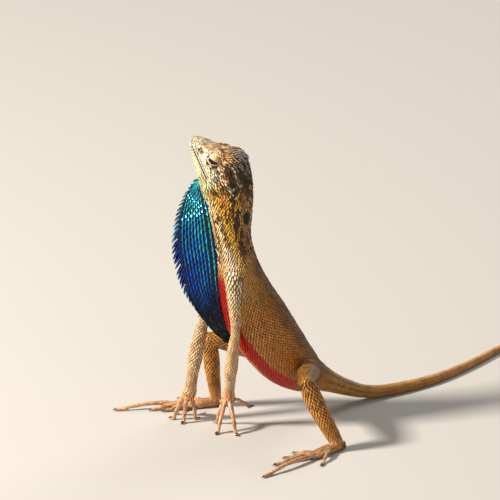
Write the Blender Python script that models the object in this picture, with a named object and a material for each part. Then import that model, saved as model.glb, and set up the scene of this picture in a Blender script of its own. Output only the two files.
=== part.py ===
# Superb fan-throated lizard, adult male, still life-size figure in display posture.
# Sizes below are millimetres; meshes are written in metres. The animal faces -Y, its left is +X,
# the floor is z = 0.

import math

import bmesh
import bpy
from mathutils import Vector

MM = 0.001
GAP = 0.3  # clear space between neighbouring nodes
WELD = 0.004  # points nearer than this are one point
SHARP_ANGLE = 40  # degrees between faces that meet in a crease
END_REACH = {"round": 0.8, "flat": 0.0, "point": 1.6}  # length of a tube's end in half widths
END_SHRINK = 0.7  # size of the ring between a tube's last ring and its tip
END_SHIFT = 0.55  # and its share of the way to the tip

# Body axis from the nape to the tail tip: x, y, z of the axis, half width, half depth, yaw in degrees.
AXIS = [
    (-8.6, -13.1, 63.5, 4.35, 5.3, 40),
    (-8.7, -13.6, 60.0, 4.3, 5.7, 36),
    (-8.3, -13.7, 55.3, 4.3, 5.3, 30),
    (-7.8, -13.6, 49.4, 4.7, 4.6, 25),
    (-7.0, -13.0, 43.6, 5.7, 4.9, 22),
    (-6.05, -11.6, 36.2, 6.7, 6.35, 20),
    (-4.55, -8.5, 27.4, 7.3, 7.85, 17),
    (-3.0, -2.2, 17.4, 7.0, 7.3, 12),
    (-2.0, 3.2, 12.0, 5.4, 5.7, 8),
    (-1.5, 8.0, 9.2, 3.7, 3.6, 4),
    (-1.2, 12.0, 6.9, 2.7, 2.6, 0),
    (-1.0, 16.2, 4.7, 2.15, 2.1, -2),
    (-0.7, 20.6, 2.8, 1.8, 1.75, -4),
    (-0.2, 25.2, 1.65, 1.6, 1.6, -5),
    (0.4, 30.0, 1.36, 1.48, 1.48, -3),
    (0.6, 36.0, 1.24, 1.36, 1.36, 2),
    (0.2, 43.0, 1.13, 1.24, 1.24, 7),
    (-1.3, 50.5, 1.03, 1.13, 1.13, 12),
    (-3.6, 58.5, 0.94, 1.03, 1.03, 16),
    (-6.6, 67.0, 0.86, 0.95, 0.95, 18),
    (-9.9, 76.0, 0.78, 0.86, 0.86, 19),
    (-13.2, 85.5, 0.70, 0.77, 0.77, 18),
    (-16.3, 95.5, 0.62, 0.68, 0.68, 14),
    (-18.2, 105.5, 0.54, 0.59, 0.59, 7),
    (-18.6, 115.5, 0.46, 0.5, 0.5, -3),
    (-17.1, 125.5, 0.38, 0.41, 0.41, -13),
    (-14.4, 134.0, 0.28, 0.31, 0.31, -22),
]
BODY_SIDES = 24
TAIL_SIDES = 12
NECK_END = 4  # AXIS rows where one node ends and the next begins
TORSO_END = 9
TAIL_SPLITS = (13, 18, 22)
TAIL_START = 9

# Head: snout tip, heading and the outline behind it.
SNOUT = Vector((-16.6, -19.2, 73.4))
HEAD_YAW = 47.5
HEAD_PITCH = 45.2
# Distance behind the snout tip, top, widest level, underside, half width, squareness above, below.
HEAD_ROWS = [
    (0.0, 1.1, -0.1, -1.1, 1.3, 2.2, 2.2),
    (0.8, 1.7, -0.2, -1.9, 2.0, 2.3, 2.2),
    (2.2, 2.3, -0.4, -2.8, 2.6, 2.4, 2.1),
    (4.0, 2.9, -0.6, -3.8, 3.25, 2.5, 2.0),
    (5.8, 3.6, -0.6, -4.9, 4.05, 2.6, 2.0),
    (7.6, 5.0, -0.6, -6.0, 4.75, 2.9, 1.9),
    (9.4, 6.4, -0.7, -7.1, 5.2, 3.1, 1.8),
    (11.4, 6.6, -0.8, -8.3, 5.6, 3.1, 1.8),
    (13.4, 5.9, -0.8, -9.2, 5.65, 2.7, 1.8),
    (15.2, 4.9, -0.9, -9.2, 5.3, 2.3, 1.9),
    (16.6, 4.2, -1.1, -8.2, 4.8, 2.0, 2.0),
]
HEAD_SIDES = 30
HEAD_STEPS = 3
EYE_BACK = 7.0
EYE_UP = 1.6
EYE_SUNK = 0.9  # centre of the eyeball below the head surface
EYE_RADIUS = 1.4
SOCKET_GAP = 0.27  # clear space round the eyeball
LID_RADIUS = 0.34
LID_HALF = 1.7  # half length of a lid
LID_HIGH = 1.4
LID_LOW = -1.35
LID_BULGE = 0.4
EAR_BACK = 14.4
EAR_UP = 1.0
EAR_OUT = 0.45  # centre of the hollow outside the head surface
EAR_RADII = (1.0, 1.15, 1.5)
NOSTRIL_BACK = 2.7
NOSTRIL_UP = 0.25
NOSTRIL_RADII = (0.55, 0.24, 0.5)
MOUTH_START = -0.55  # level of the mouth line at the snout tip, and its fall per millimetre
MOUTH_FALL = 0.25
MOUTH_BACKS = (9.6, 8.4, 7.0, 5.6, 4.2, 2.8, 1.6, 0.7)
MOUTH_DEPTH = 0.42
MOUTH_HALF = 0.15
# Swellings of the head: height, back, up, size along, size up and down, how far out they start.
SWELLS = [
    (0.5, 6.8, 3.4, 2.3, 0.8, 1.0),  # brow
    (0.35, EYE_BACK, EYE_UP, 1.9, 1.6, 0.0),  # dome of the eye
    (0.15, 3.2, 1.7, 2.0, 0.6, 0.8),  # ridge over the nostril
    (-0.3, 4.2, 0.4, 1.2, 0.9, 0.0),  # hollow in front of the eye
    (0.35, 12.0, -2.6, 2.4, 1.9, 0.0),  # jaw muscle
]
LIP_SWELL = 0.15
LIP_WIDTH = 0.9
LIP_END = 9.5

# Throat fan: share of its length, width there.
FAN_WIDTHS = [
    (0.00, 0.5), (0.05, 2.3), (0.10, 4.2), (0.17, 6.2), (0.25, 7.9), (0.33, 9.0), (0.40, 9.4),
    (0.50, 9.1), (0.60, 8.2), (0.75, 5.7), (0.90, 2.8), (1.00, 0.5),
]
FAN_ROWS = 8  # rows of scales side by side
FAN_SCALES = 20  # scales one behind the other
FAN_HALF_ROOT = 0.5
FAN_HALF_EDGE = 0.28
FAN_RIB = 0.2
FAN_KEEL = 0.25
FAN_TOOTH = 0.7
FAN_SUNK = 1.2  # root of the fan inside the throat before it is trimmed
FAN_HEAD_START = 8.4  # where the fan begins, behind the snout tip
FAN_END_ROW = 6.25  # AXIS position of the fan's lower end
FAN_NECK_ROW = 1.9  # AXIS position where the fan's root passes from the head to the neck
FAN_HEAD_END = 13.3
FAN_HEAD_STEP = 1.2
FAN_TAPER = 4.0  # width below which ribs and teeth grow lower

# Fore limbs: x, y, z, half width, half depth from the shoulder to the palm.
ARM_LEFT = [
    (-6.2, -13.4, 44.4, 2.4, 2.8),
    (-3.2, -15.9, 40.6, 2.4, 2.6),
    (-2.1, -16.9, 34.4, 1.75, 1.8),
    (-1.5, -17.0, 29.6, 1.3, 1.35),
    (-1.6, -17.0, 26.2, 1.1, 1.15),
    (-2.4, -17.0, 22.5, 1.35, 1.4),
    (-3.5, -16.8, 17.6, 1.55, 1.6),
    (-4.5, -16.7, 13.2, 1.4, 1.5),
    (-5.0, -16.6, 10.2, 1.2, 1.4),
    (-5.1, -16.7, 8.2, 1.25, 1.6),
    (-5.0, -17.0, 7.0, 1.0, 1.5),
]
ARM_RIGHT = [
    (-9.8, -11.4, 43.6, 2.4, 2.8),
    (-12.2, -13.2, 39.6, 2.4, 2.6),
    (-13.5, -15.6, 33.2, 1.9, 2.0),
    (-14.2, -17.3, 28.4, 1.45, 1.55),
    (-14.5, -18.1, 24.9, 1.4, 1.45),
    (-14.5, -19.2, 20.8, 1.7, 1.8),
    (-14.4, -20.4, 16.2, 1.65, 1.8),
    (-14.3, -21.3, 12.2, 1.35, 1.5),
    (-14.3, -21.8, 9.3, 1.3, 1.55),
    (-14.4, -22.2, 7.4, 1.3, 1.7),
    (-14.5, -22.4, 6.3, 1.0, 1.4),
]
ELBOW_ROW = 4
WRIST_ROW = 8
ARM_SIDES = 12
ARM_ACROSS = (0.93, -0.37, 0.0)

# Fingers: claw tip x, y, z and half thickness, first to fifth.
FINGERS_LEFT = [
    (-8.0, -18.4, 6.6, 0.48),
    (-10.2, -18.2, 0.25, 0.52),
    (-2.2, -22.9, 0.25, 0.55),
    (1.8, -18.7, 0.25, 0.55),
    (-2.3, -10.6, 5.0, 0.45),
]
FINGERS_RIGHT = [
    (-13.2, -19.3, 0.25, 0.48),
    (-12.9, -25.9, 0.25, 0.52),
    (-18.2, -26.2, 0.25, 0.55),
    (-21.0, -22.7, 0.25, 0.55),
    (-17.6, -17.4, 1.4, 0.45),
]
FINGER_SIDES = 8
CLAW_LENGTH = 1.1
CLAW_TIP_UP = 0.2
PAD_UP = 0.7  # height of the last joint's middle, in its half thicknesses
DIGIT_SIZES = ((0.0, 1.25), (0.2, 1.05), (0.4, 1.15), (0.6, 0.97), (0.8, 1.07), (1.0, 1.0))
FINGER_ROOT_OUT = 0.5
FINGER_ROOT_UP = 0.7
FINGER_LAID = 0.5  # length of the last joint that lies on the floor

# Hind limbs from the hip to the knee and from the knee to the ankle.
THIGH_LEFT = [
    (1.6, 2.4, 13.0, 3.2, 3.0),
    (4.6, 0.9, 13.8, 3.3, 3.0),
    (8.6, -2.0, 15.1, 3.05, 2.75),
    (12.6, -5.2, 16.3, 2.65, 2.45),
    (15.6, -7.7, 17.0, 2.3, 2.2),
    (17.6, -9.2, 17.1, 1.9, 1.9),
]
SHIN_LEFT = [
    (17.2, -8.9, 17.6, 1.6, 1.6),
    (17.9, -8.4, 15.6, 2.2, 2.2),
    (19.1, -7.1, 11.6, 2.35, 2.35),
    (20.7, -5.6, 7.4, 2.1, 2.1),
    (22.1, -4.2, 3.8, 1.8, 1.75),
    (22.8, -3.6, 2.1, 1.65, 1.55),
]
THIGH_RIGHT = [
    (-5.6, 3.4, 13.0, 3.2, 3.0),
    (-7.8, 0.6, 14.0, 3.3, 3.0),
    (-10.6, -3.4, 15.6, 3.0, 2.75),
    (-13.7, -7.8, 17.2, 2.6, 2.45),
    (-16.2, -11.2, 18.4, 2.2, 2.2),
    (-18.0, -13.4, 18.8, 1.8, 1.9),
]
SHIN_RIGHT = [
    (-17.7, -13.1, 19.2, 1.5, 1.6),
    (-17.9, -13.2, 17.2, 1.9, 1.9),
    (-18.2, -12.8, 13.2, 2.0, 2.05),
    (-18.5, -12.1, 8.4, 1.8, 1.8),
    (-18.7, -11.4, 4.2, 1.5, 1.5),
    (-18.8, -11.1, 2.0, 1.35, 1.35),
]
SOLE_LEFT = [
    (22.9, -1.9, 1.05, 1.2, 1.15),
    (23.1, -4.6, 1.15, 1.5, 1.3),
    (23.4, -8.0, 0.95, 1.75, 1.05),
    (23.65, -10.6, 0.75, 1.85, 0.8),
    (23.75, -11.9, 0.6, 1.6, 0.6),
]
SOLE_RIGHT = [
    (-18.3, -9.6, 1.05, 1.2, 1.15),
    (-19.2, -12.2, 1.15, 1.5, 1.3),
    (-20.6, -15.4, 0.95, 1.75, 1.05),
    (-21.75, -17.7, 0.75, 1.85, 0.8),
    (-22.3, -18.9, 0.6, 1.6, 0.6),
]
TOES_LEFT = [
    (18.6, -14.4, 0.25, 0.5),
    (20.2, -18.4, 0.25, 0.52),
    (22.6, -22.9, 0.25, 0.55),
    (27.6, -29.6, 0.25, 0.55),
    (29.9, -13.6, 0.25, 0.5),
]
TOES_RIGHT = [
    (-19.3, -20.8, 0.25, 0.5),
    (-22.8, -25.2, 0.25, 0.52),
    (-25.4, -27.4, 0.25, 0.55),
    (-30.6, -34.6, 0.25, 0.55),
    (-28.2, -16.8, 0.25, 0.5),
]
TOE_ROOTS = (-1.25, -0.75, 0.0, 0.7, 1.1)  # across the front of the sole, first to fifth
TOE_ROOTS_BACK = (1.2, 1.2, 1.2, 1.2, 5.0)  # behind the front of the sole
TOE_SIDES = 8
TOE_LAID = 1.6


# Meshes


def clear_scene():
    for item in list(bpy.data.objects):
        bpy.data.objects.remove(item, do_unlink=True)


def make_material(name, colour, roughness):
    found = bpy.data.materials.get(name)
    if found:
        return found
    made = bpy.data.materials.new(name)
    made.use_nodes = True
    shader = made.node_tree.nodes["Principled BSDF"]
    shader.inputs["Base Color"].default_value = (*colour, 1.0)
    shader.inputs["Roughness"].default_value = roughness
    made.diffuse_color = (*colour, 1.0)
    return made


def make_object(name, points, faces):
    """Closed mesh object from points in millimetres, all faces turned outwards."""
    mesh = bpy.data.meshes.new(name)
    mesh.from_pydata([Vector(p) * MM for p in points], [], faces)
    shape = bmesh.new()
    shape.from_mesh(mesh)
    bmesh.ops.recalc_face_normals(shape, faces=shape.faces)
    shape.to_mesh(mesh)
    shape.free()
    item = bpy.data.objects.new(name, mesh)
    bpy.context.scene.collection.objects.link(item)
    return item


def blend_rows(rows, steps):
    """Smooth curve through rows of numbers, with the given steps from each row to the next."""
    out = []
    last = len(rows) - 1
    for i in range(last):
        four = rows[max(i - 1, 0)], rows[i], rows[i + 1], rows[min(i + 2, last)]
        for k in range(steps):
            t = k / steps
            out.append(tuple(
                0.5 * (2 * b + (c - a) * t + (2 * a - 5 * b + 4 * c - d) * t * t
                       + (3 * b - a - 3 * c + d) * t ** 3)
                for a, b, c, d in zip(*four)
            ))
    out.append(tuple(rows[last]))
    return out


def row_directions(centres):
    """Unit direction of travel at each centre."""
    last = len(centres) - 1
    return [
        (centres[min(i + 1, last)] - centres[max(i - 1, 0)]).normalized() for i in range(last + 1)
    ]


def ring_frames(rows, across):
    """Centre, side, top, direction, half width and half depth for every row of a tube."""
    centres = [Vector(row[:3]) for row in rows]
    out = []
    for row, centre, along in zip(rows, centres, row_directions(centres)):
        side = across(row) if callable(across) else Vector(across)
        side = (side - along * side.dot(along)).normalized()
        out.append([centre, side, side.cross(along), along, row[3], row[4]])
    return out


def yaw_side(row):
    turn = math.radians(row[5])
    return Vector((math.cos(turn), -math.sin(turn), 0.0))


def skin_rings(rings, first_pole, last_pole):
    """Faces and points of a closed tube from rings of points and a point at each end."""
    sides = len(rings[0])
    points = [p for ring in rings for p in ring]
    faces = []
    for i in range(len(rings) - 1):
        for k in range(sides):
            n = (k + 1) % sides
            faces.append((i * sides + k, i * sides + n, (i + 1) * sides + n, (i + 1) * sides + k))
    first = len(points)
    points += [first_pole, last_pole]
    tail = (len(rings) - 1) * sides
    for k in range(sides):
        n = (k + 1) % sides
        faces.append((first, n, k))
        faces.append((first + 1, tail + k, tail + n))
    return points, faces


def ring_points(frame, sides, grow, shrink=1.0, shift=0.0):
    centre, side, top, along, half_width, half_depth = frame
    out = []
    for k in range(sides):
        turn = 2 * math.pi * (k + 0.5) / sides
        across = side * (math.cos(turn) * (half_width + grow) * shrink)
        above = top * (math.sin(turn) * (half_depth + grow) * shrink)
        out.append(centre + along * shift + across + above)
    return out


def tube(name, frames, sides, grow=0.0, start="round", end="round", floor=False):
    """Closed tube with round, pointed or flat ends. A flat end stands half a gap back."""
    first, last = frames[0], frames[-1]
    rings = []
    head_size = min(first[4], first[5]) + grow
    tail_size = min(last[4], last[5]) + grow
    body = [ring_points(frame, sides, grow) for frame in frames]
    if start == "flat":
        body[0] = ring_points(first, sides, grow, 1.0, GAP / 2)
        first_pole = first[0] + first[3] * (GAP / 2)
    else:
        reach = head_size * END_REACH[start]
        first_pole = first[0] - first[3] * reach
        rings.append(ring_points(first, sides, grow, END_SHRINK, -END_SHIFT * reach))
    rings += body
    if end == "flat":
        rings[-1] = ring_points(last, sides, grow, 1.0, -GAP / 2)
        last_pole = last[0] - last[3] * (GAP / 2)
    else:
        reach = tail_size * END_REACH[end]
        last_pole = last[0] + last[3] * reach
        rings.append(ring_points(last, sides, grow, END_SHRINK, END_SHIFT * reach))
    points, faces = skin_rings(rings, first_pole, last_pole)
    if floor:
        points = [Vector((p[0], p[1], max(p[2], 0.0))) for p in points]
    return make_object(name, points, faces)


def apply_boolean(item, operation, others, solver="EXACT"):
    """Joins or cuts an object with others, which are removed."""
    group = bpy.data.collections.new("cutters")
    bpy.context.scene.collection.children.link(group)
    for other in others:
        group.objects.link(other)
    change = item.modifiers.new("change", "BOOLEAN")
    change.operation = operation
    change.operand_type = "COLLECTION"
    change.collection = group
    change.solver = solver
    bpy.context.view_layer.update()
    graph = bpy.context.evaluated_depsgraph_get()
    result = bpy.data.meshes.new_from_object(item.evaluated_get(graph))
    item.modifiers.clear()
    item.data = result
    for other in others:
        bpy.data.objects.remove(other, do_unlink=True)
    bpy.data.collections.remove(group)
    tidy(item)


def tidy(item):
    """Welds stray points and keeps the largest closed surface."""
    shape = bmesh.new()
    shape.from_mesh(item.data)
    bmesh.ops.remove_doubles(shape, verts=shape.verts, dist=WELD * MM)
    bmesh.ops.dissolve_degenerate(shape, edges=shape.edges, dist=WELD * MM)
    seen = set()
    shells = []
    for face in shape.faces:
        if face in seen:
            continue
        seen.add(face)
        shell = [face]
        for one in shell:
            for edge in one.edges:
                for linked in edge.link_faces:
                    if linked not in seen:
                        seen.add(linked)
                        shell.append(linked)
        shells.append(shell)
    shells.sort(key=lambda shell: sum(face.calc_area() for face in shell))
    for shell in shells[:-1]:
        loose = {vert for face in shell for vert in face.verts}
        bmesh.ops.delete(shape, geom=list(loose), context="VERTS")
    bmesh.ops.triangulate(shape, faces=shape.faces)
    bmesh.ops.recalc_face_normals(shape, faces=shape.faces)
    shape.to_mesh(item.data)
    shape.free()


def finish_node(item, material):
    item.data.materials.clear()
    item.data.materials.append(material)
    item.data.shade_smooth()
    item.data.set_sharp_from_angle(angle=math.radians(SHARP_ANGLE))


# Head


def head_axes():
    yaw = math.radians(HEAD_YAW)
    pitch = math.radians(HEAD_PITCH)
    left = Vector((math.cos(yaw), -math.sin(yaw), 0.0))
    front = Vector((-math.sin(yaw), -math.cos(yaw), 0.0)) * math.cos(pitch)
    front.z = math.sin(pitch)
    return front, left, left.cross(-front)


FRONT, LEFT, UP = head_axes()


def head_place(back, out, up):
    """Point in the head's own measures: back from the snout tip, out to its left, and up."""
    return SNOUT - FRONT * back + LEFT * out + UP * up


def bump(a, b, size_a, size_b):
    return math.exp(-(a / size_a) ** 2 - (b / size_b) ** 2)


def head_swell(back, out, up):
    """How far the surface stands out at a place: brows, eye domes, jaw muscle, cheek hollow."""
    total = 0.0
    for height, middle_back, middle_up, size_back, size_up, start in SWELLS:
        if abs(out) > start:
            total += height * bump(back - middle_back, up - middle_up, size_back, size_up)
    if back < LIP_END:
        total += LIP_SWELL * bump(0.0, up - mouth_level(back), 1.0, LIP_WIDTH)
    return total * min(1.0, back / 2.0)


def mouth_level(back):
    return MOUTH_START - MOUTH_FALL * back


def head_row(back):
    """The outline numbers at any distance behind the snout tip."""
    rows = HEAD_ROWS
    for one, two in zip(rows, rows[1:]):
        if back <= two[0]:
            share = (back - one[0]) / (two[0] - one[0])
            return [a + (b - a) * share for a, b in zip(one, two)]
    return list(rows[-1])


def head_surface(row, turn, grow):
    """Point on the head for an outline row and an angle round it."""
    back, top, middle, bottom, half, square_up, square_down = row
    c, s = math.cos(turn), math.sin(turn)
    power = 2 / (square_up if s >= 0 else square_down)
    out = math.copysign(abs(c) ** power, c) * half
    up = middle + abs(s) ** power * ((top - middle) if s >= 0 else (bottom - middle))
    place = Vector((out, up - middle, 0.0))
    if place.length > 0:
        swell = head_swell(back, out, up) + grow
        place += place.normalized() * swell
    return head_place(back, place.x, place.y + middle)


def build_head(grow=0.0):
    rows = blend_rows(HEAD_ROWS, HEAD_STEPS)
    turns = [2 * math.pi * (k + 0.5) / HEAD_SIDES for k in range(HEAD_SIDES)]
    rings = [[head_surface(row, turn, grow) for turn in turns] for row in rows]
    first, last = rows[0], rows[-1]
    tip = [
        head_place(-0.35 - grow, p[0] * 0.62, p[1])
        for p in [(math.cos(t) * first[4], (first[1] - 0.1) * 0.62 * math.sin(t)) for t in turns]
    ]
    closed = [
        head_place(last[0] + 1.2 + grow, math.cos(t) * last[4] * 0.7,
                   last[2] + math.sin(t) * (last[1] - last[3]) * 0.33)
        for t in turns
    ]
    points, faces = skin_rings(
        [tip] + rings + [closed],
        head_place(-0.5 - grow, 0.0, 0.0),
        head_place(last[0] + 1.6 + grow, 0.0, last[2] - 1.5),
    )
    return make_object("head", points, faces)


def surface_out(back, up):
    """How far out the side of the head is at a level, without its swellings."""
    _, top, middle, bottom, half, square_up, square_down = head_row(back)
    reach = (top - middle) if up >= middle else (bottom - middle)
    power = square_up if up >= middle else square_down
    share = min(0.999, abs((up - middle) / reach))
    return half * (1 - share ** power) ** (1 / power)


def ball(name, centre, radii, axes, rings=6, sides=12):
    """Closed ellipsoid with its poles along the first axis."""
    one, two, three = axes
    loops = []
    for i in range(1, rings):
        lift = math.pi * i / rings
        loops.append([
            centre - one * (math.cos(lift) * radii[0])
            + two * (math.sin(lift) * math.cos(2 * math.pi * k / sides) * radii[1])
            + three * (math.sin(lift) * math.sin(2 * math.pi * k / sides) * radii[2])
            for k in range(sides)
        ])
    points, faces = skin_rings(loops, centre - one * radii[0], centre + one * radii[0])
    return make_object(name, points, faces)


def bar(name, points, radius, sides=6, across=(0.0, 0.0, 1.0)):
    rows = [(*p, r, r) for p, r in zip(points, radius)]
    return tube(name, ring_frames(rows, across), sides)


def mouth_cutter():
    """Thin blade round the snout that leaves the line of the mouth."""
    stations = []
    for side in (1, -1):
        run = [(back, side) for back in MOUTH_BACKS]
        stations += run if side == 1 else run[::-1]
        if side == 1:
            stations.append((0.0, 0))
    rings = []
    for back, side in stations:
        level = mouth_level(back)
        if side == 0:
            inner, outer = (0.35, 0.0), (-1.6, 0.0)
        else:
            out = surface_out(max(back, 0.25), level) + head_swell(back, 3.0, level)
            inner, outer = (back, side * (out - MOUTH_DEPTH)), (back, side * (out + 1.2))
        high, low = level + MOUTH_HALF, level - MOUTH_HALF
        rings.append([
            head_place(inner[0], inner[1], high), head_place(outer[0], outer[1], high + 0.1),
            head_place(outer[0], outer[1], low - 0.1), head_place(inner[0], inner[1], low),
        ])
    points = [p for ring in rings for p in ring]
    faces = [(3, 2, 1, 0)]
    for i in range(len(rings) - 1):
        for k in range(4):
            n = (k + 1) % 4
            faces.append((i * 4 + k, i * 4 + n, i * 4 + 4 + n, i * 4 + 4 + k))
    end = (len(rings) - 1) * 4
    faces.append((end, end + 1, end + 2, end + 3))
    return make_object("mouth_cutter", points, faces)


def side_reach(back, up):
    """How far out the side of the head is, with its swellings."""
    out = surface_out(back, up)
    return out + head_swell(back, max(out, 1.1), up)


def eye_centre(side):
    return head_place(EYE_BACK, side * (side_reach(EYE_BACK, EYE_UP) - EYE_SUNK), EYE_UP)


def lid_bar(side, upper):
    """Rim along the upper or lower edge of the eye opening."""
    points = []
    for k in range(9):
        turn = math.pi * k / 8
        back = EYE_BACK - math.cos(turn) * LID_HALF
        up = EYE_UP + math.sin(turn) * (LID_HIGH if upper else LID_LOW)
        bulge = LID_BULGE * math.sin(turn)
        points.append(head_place(back, side * (side_reach(back, up) + bulge - 0.1), up))
    radius = [LID_RADIUS * (0.75 + 0.6 * math.sin(math.pi * k / 8)) for k in range(9)]
    return bar("lid", points, radius, 6, LEFT)


def head_node():
    head = build_head()
    apply_boolean(head, "UNION", [lid_bar(side, upper) for side in (1, -1) for upper in (1, 0)])
    cutters = [mouth_cutter()]
    for side in (1, -1):
        axes = (LEFT * side, FRONT, UP)
        cutters.append(ball("socket", eye_centre(side), [EYE_RADIUS + SOCKET_GAP] * 3, axes, 8, 16))
        ear_out = surface_out(EAR_BACK, EAR_UP)
        cutters.append(
            ball("ear", head_place(EAR_BACK, side * (ear_out + EAR_OUT), EAR_UP), EAR_RADII, axes))
        nose_out = surface_out(NOSTRIL_BACK, NOSTRIL_UP)
        slant = (FRONT * 0.5 + UP).normalized()
        axes = (LEFT * side, slant.cross(LEFT), slant)
        cutters.append(
            ball("nostril", head_place(NOSTRIL_BACK, side * nose_out, NOSTRIL_UP),
                 NOSTRIL_RADII, axes, 4, 8))
    apply_boolean(head, "DIFFERENCE", cutters)
    return head


def eye_node(name, side):
    axes = (LEFT * side, FRONT, UP)
    return ball(name, eye_centre(side), [EYE_RADIUS] * 3, axes, 8, 16)


# Body and tail


def body_frames(first, last, steps):
    """Ring frames of the body axis between two rows of AXIS."""
    rows = blend_rows(AXIS, steps)
    return ring_frames(rows, yaw_side)[first * steps:last * steps + 1]


def body_nodes():
    neck = tube("neck", body_frames(0, NECK_END, 2), BODY_SIDES, end="flat")
    torso = tube("torso", body_frames(NECK_END, TORSO_END, 2), BODY_SIDES, start="flat", end="flat")
    apply_boolean(neck, "DIFFERENCE", [build_head(GAP)])
    nodes = [neck, torso]
    stops = (TAIL_START, *TAIL_SPLITS, len(AXIS) - 1)
    for k, (first, last) in enumerate(zip(stops, stops[1:])):
        sides = BODY_SIDES if k == 0 else TAIL_SIDES
        end = "flat" if k < len(stops) - 2 else "point"
        name = ("tail_base", "tail_middle", "tail_end", "tail_tip")[k]
        nodes.append(tube(name, body_frames(first, last, 2), sides, 0.0, "flat", end, floor=True))
    return nodes


def grown_body():
    """Body outline with the gap added, for trimming the parts that meet it."""
    return [tube("cutter", body_frames(0, 12, 2), BODY_SIDES, GAP)]


# Throat fan


def ventral_line():
    """Underside midline from the throat to the belly: place, yaw in degrees."""
    line = []
    back = FAN_HEAD_START
    while back < FAN_HEAD_END:
        line.append((head_place(back, 0.0, head_row(back)[3]), HEAD_YAW - (back - FAN_HEAD_START)))
        back += FAN_HEAD_STEP
    rows = blend_rows(AXIS, 4)
    for k, frame in enumerate(body_frames(0, 8, 4)):
        if FAN_NECK_ROW <= k / 4 <= FAN_END_ROW:
            centre, _, top, _, _, half_depth = frame
            line.append((centre - top * half_depth, rows[k][5]))
    return line


def resample(line, count):
    """Evenly spaced places along a line of (place, yaw)."""
    lengths = [0.0]
    for one, two in zip(line, line[1:]):
        lengths.append(lengths[-1] + (two[0] - one[0]).length)
    out = []
    for k in range(count):
        want = lengths[-1] * k / (count - 1)
        i = max(j for j in range(len(line) - 1) if lengths[j] <= want + 1e-9)
        share = (want - lengths[i]) / (lengths[i + 1] - lengths[i])
        one, two = line[i], line[i + 1]
        out.append((one[0].lerp(two[0], share), one[1] + (two[1] - one[1]) * share))
    return out


def table_value(table, share):
    for one, two in zip(table, table[1:]):
        if share <= two[0]:
            return one[1] + (two[1] - one[1]) * (share - one[0]) / (two[0] - one[0])
    return table[-1][1]


def fan_place(line, share, across, half, face_side):
    """Point of the fan: share of its length, share of its width, and half its thickness there."""
    place, yaw = line[round(share * (len(line) - 1))]
    turn = math.radians(yaw)
    left = Vector((math.cos(turn), -math.sin(turn), 0.0))
    away = Vector((-math.sin(turn), -math.cos(turn), 0.1 - 0.85 * share * share)).normalized()
    width = table_value(FAN_WIDTHS, share)
    out = across * width - FAN_SUNK * max(0.0, 1 - across * 4)
    return place + away * out + left * (half * face_side)


def fan_node():
    """Leaf-shaped sheet of lengthwise ribbed rows of keeled scales, its free edge toothed."""
    line = resample(ventral_line(), 24 * FAN_SCALES + 1)
    columns = 2 * FAN_ROWS + 1
    stations = 2 * FAN_SCALES + 1
    sheets = []
    for face_side in (1, -1):
        sheet = []
        for i in range(stations):
            for j in range(columns):
                ridge = j % 2 == 1
                stagger = 0.5 if j // 2 % 2 and ridge else 0.0
                step = i // 2 + (0.8 if i % 2 else 0.0) + stagger
                share = 0.0 if i == 0 else min(step / (FAN_SCALES + 0.5), 1.0)
                share = 1.0 if i == stations - 1 else share
                across = j / (columns - 1)
                full = min(1.0, table_value(FAN_WIDTHS, share) / FAN_TAPER)
                half = FAN_HALF_ROOT + (FAN_HALF_EDGE - FAN_HALF_ROOT) * across
                if ridge:
                    half += (FAN_RIB + (FAN_KEEL if i % 2 else 0.0)) * full
                if j == columns - 1 and i % 2:
                    across += FAN_TOOTH * full / table_value(FAN_WIDTHS, share)
                half *= 0.6 + 0.4 * full
                sheet.append(fan_place(line, share, across, half, face_side))
        sheets.append(sheet)
    points = sheets[0] + sheets[1]
    total = stations * columns
    faces = []
    for i in range(stations - 1):
        for j in range(columns - 1):
            a, b = i * columns + j, i * columns + j + 1
            c, d = b + columns, a + columns
            faces += [(a, b, c), (a, c, d)]
            faces += [(total + a, total + c, total + b), (total + a, total + d, total + c)]
    rim = list(range(columns))
    rim += [i * columns + columns - 1 for i in range(1, stations)]
    rim += [(stations - 1) * columns + j for j in range(columns - 2, -1, -1)]
    rim += [i * columns for i in range(stations - 2, 0, -1)]
    for a, b in zip(rim, rim[1:] + rim[:1]):
        faces += [(a, total + a, total + b), (a, total + b, b)]
    fan = make_object("throat_fan", points, faces)
    apply_boolean(fan, "DIFFERENCE", [build_head(GAP)] + grown_body())
    return fan


# Limbs


def digit(root, tip, thickness, sides, laid):
    """Finger or toe: arched over the knuckles, its last joint and claw laid on the floor."""
    root, tip = Vector(root), Vector(tip)
    level = tip.z - CLAW_TIP_UP
    ahead = Vector((tip.x - root.x, tip.y - root.y, 0.0))
    run = ahead.normalized()
    claw_root = tip - run * CLAW_LENGTH
    pad = claw_root - run * min(laid, 0.25 * ahead.length)
    pad.z = claw_root.z = level + thickness * PAD_UP
    leave = root.lerp(pad, 0.3) + run * (0.16 * ahead.length) + Vector((0.0, 0.0, 0.07 * ahead.length))
    land = root.lerp(pad, 0.72) + run * (0.04 * ahead.length) + Vector((0.0, 0.0, 0.05 * ahead.length))
    rows = []
    for share, size in DIGIT_SIZES:
        rest = 1 - share
        place = (root * rest ** 3 + leave * 3 * rest * rest * share
                 + land * 3 * rest * share * share + pad * share ** 3)
        rows.append((*place, thickness * size, thickness * size))
    rows.append((*claw_root, thickness * 0.85, thickness * 0.9))
    middle = claw_root.lerp(tip, 0.45) + Vector((0.0, 0.0, 0.12))
    rows.append((*middle, thickness * 0.5, thickness * 0.6))
    rows.append((*tip, 0.13, 0.16))
    across = run.cross(Vector((0.0, 0.0, 1.0)))
    return tube("digit", ring_frames(rows, across), sides)


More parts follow.
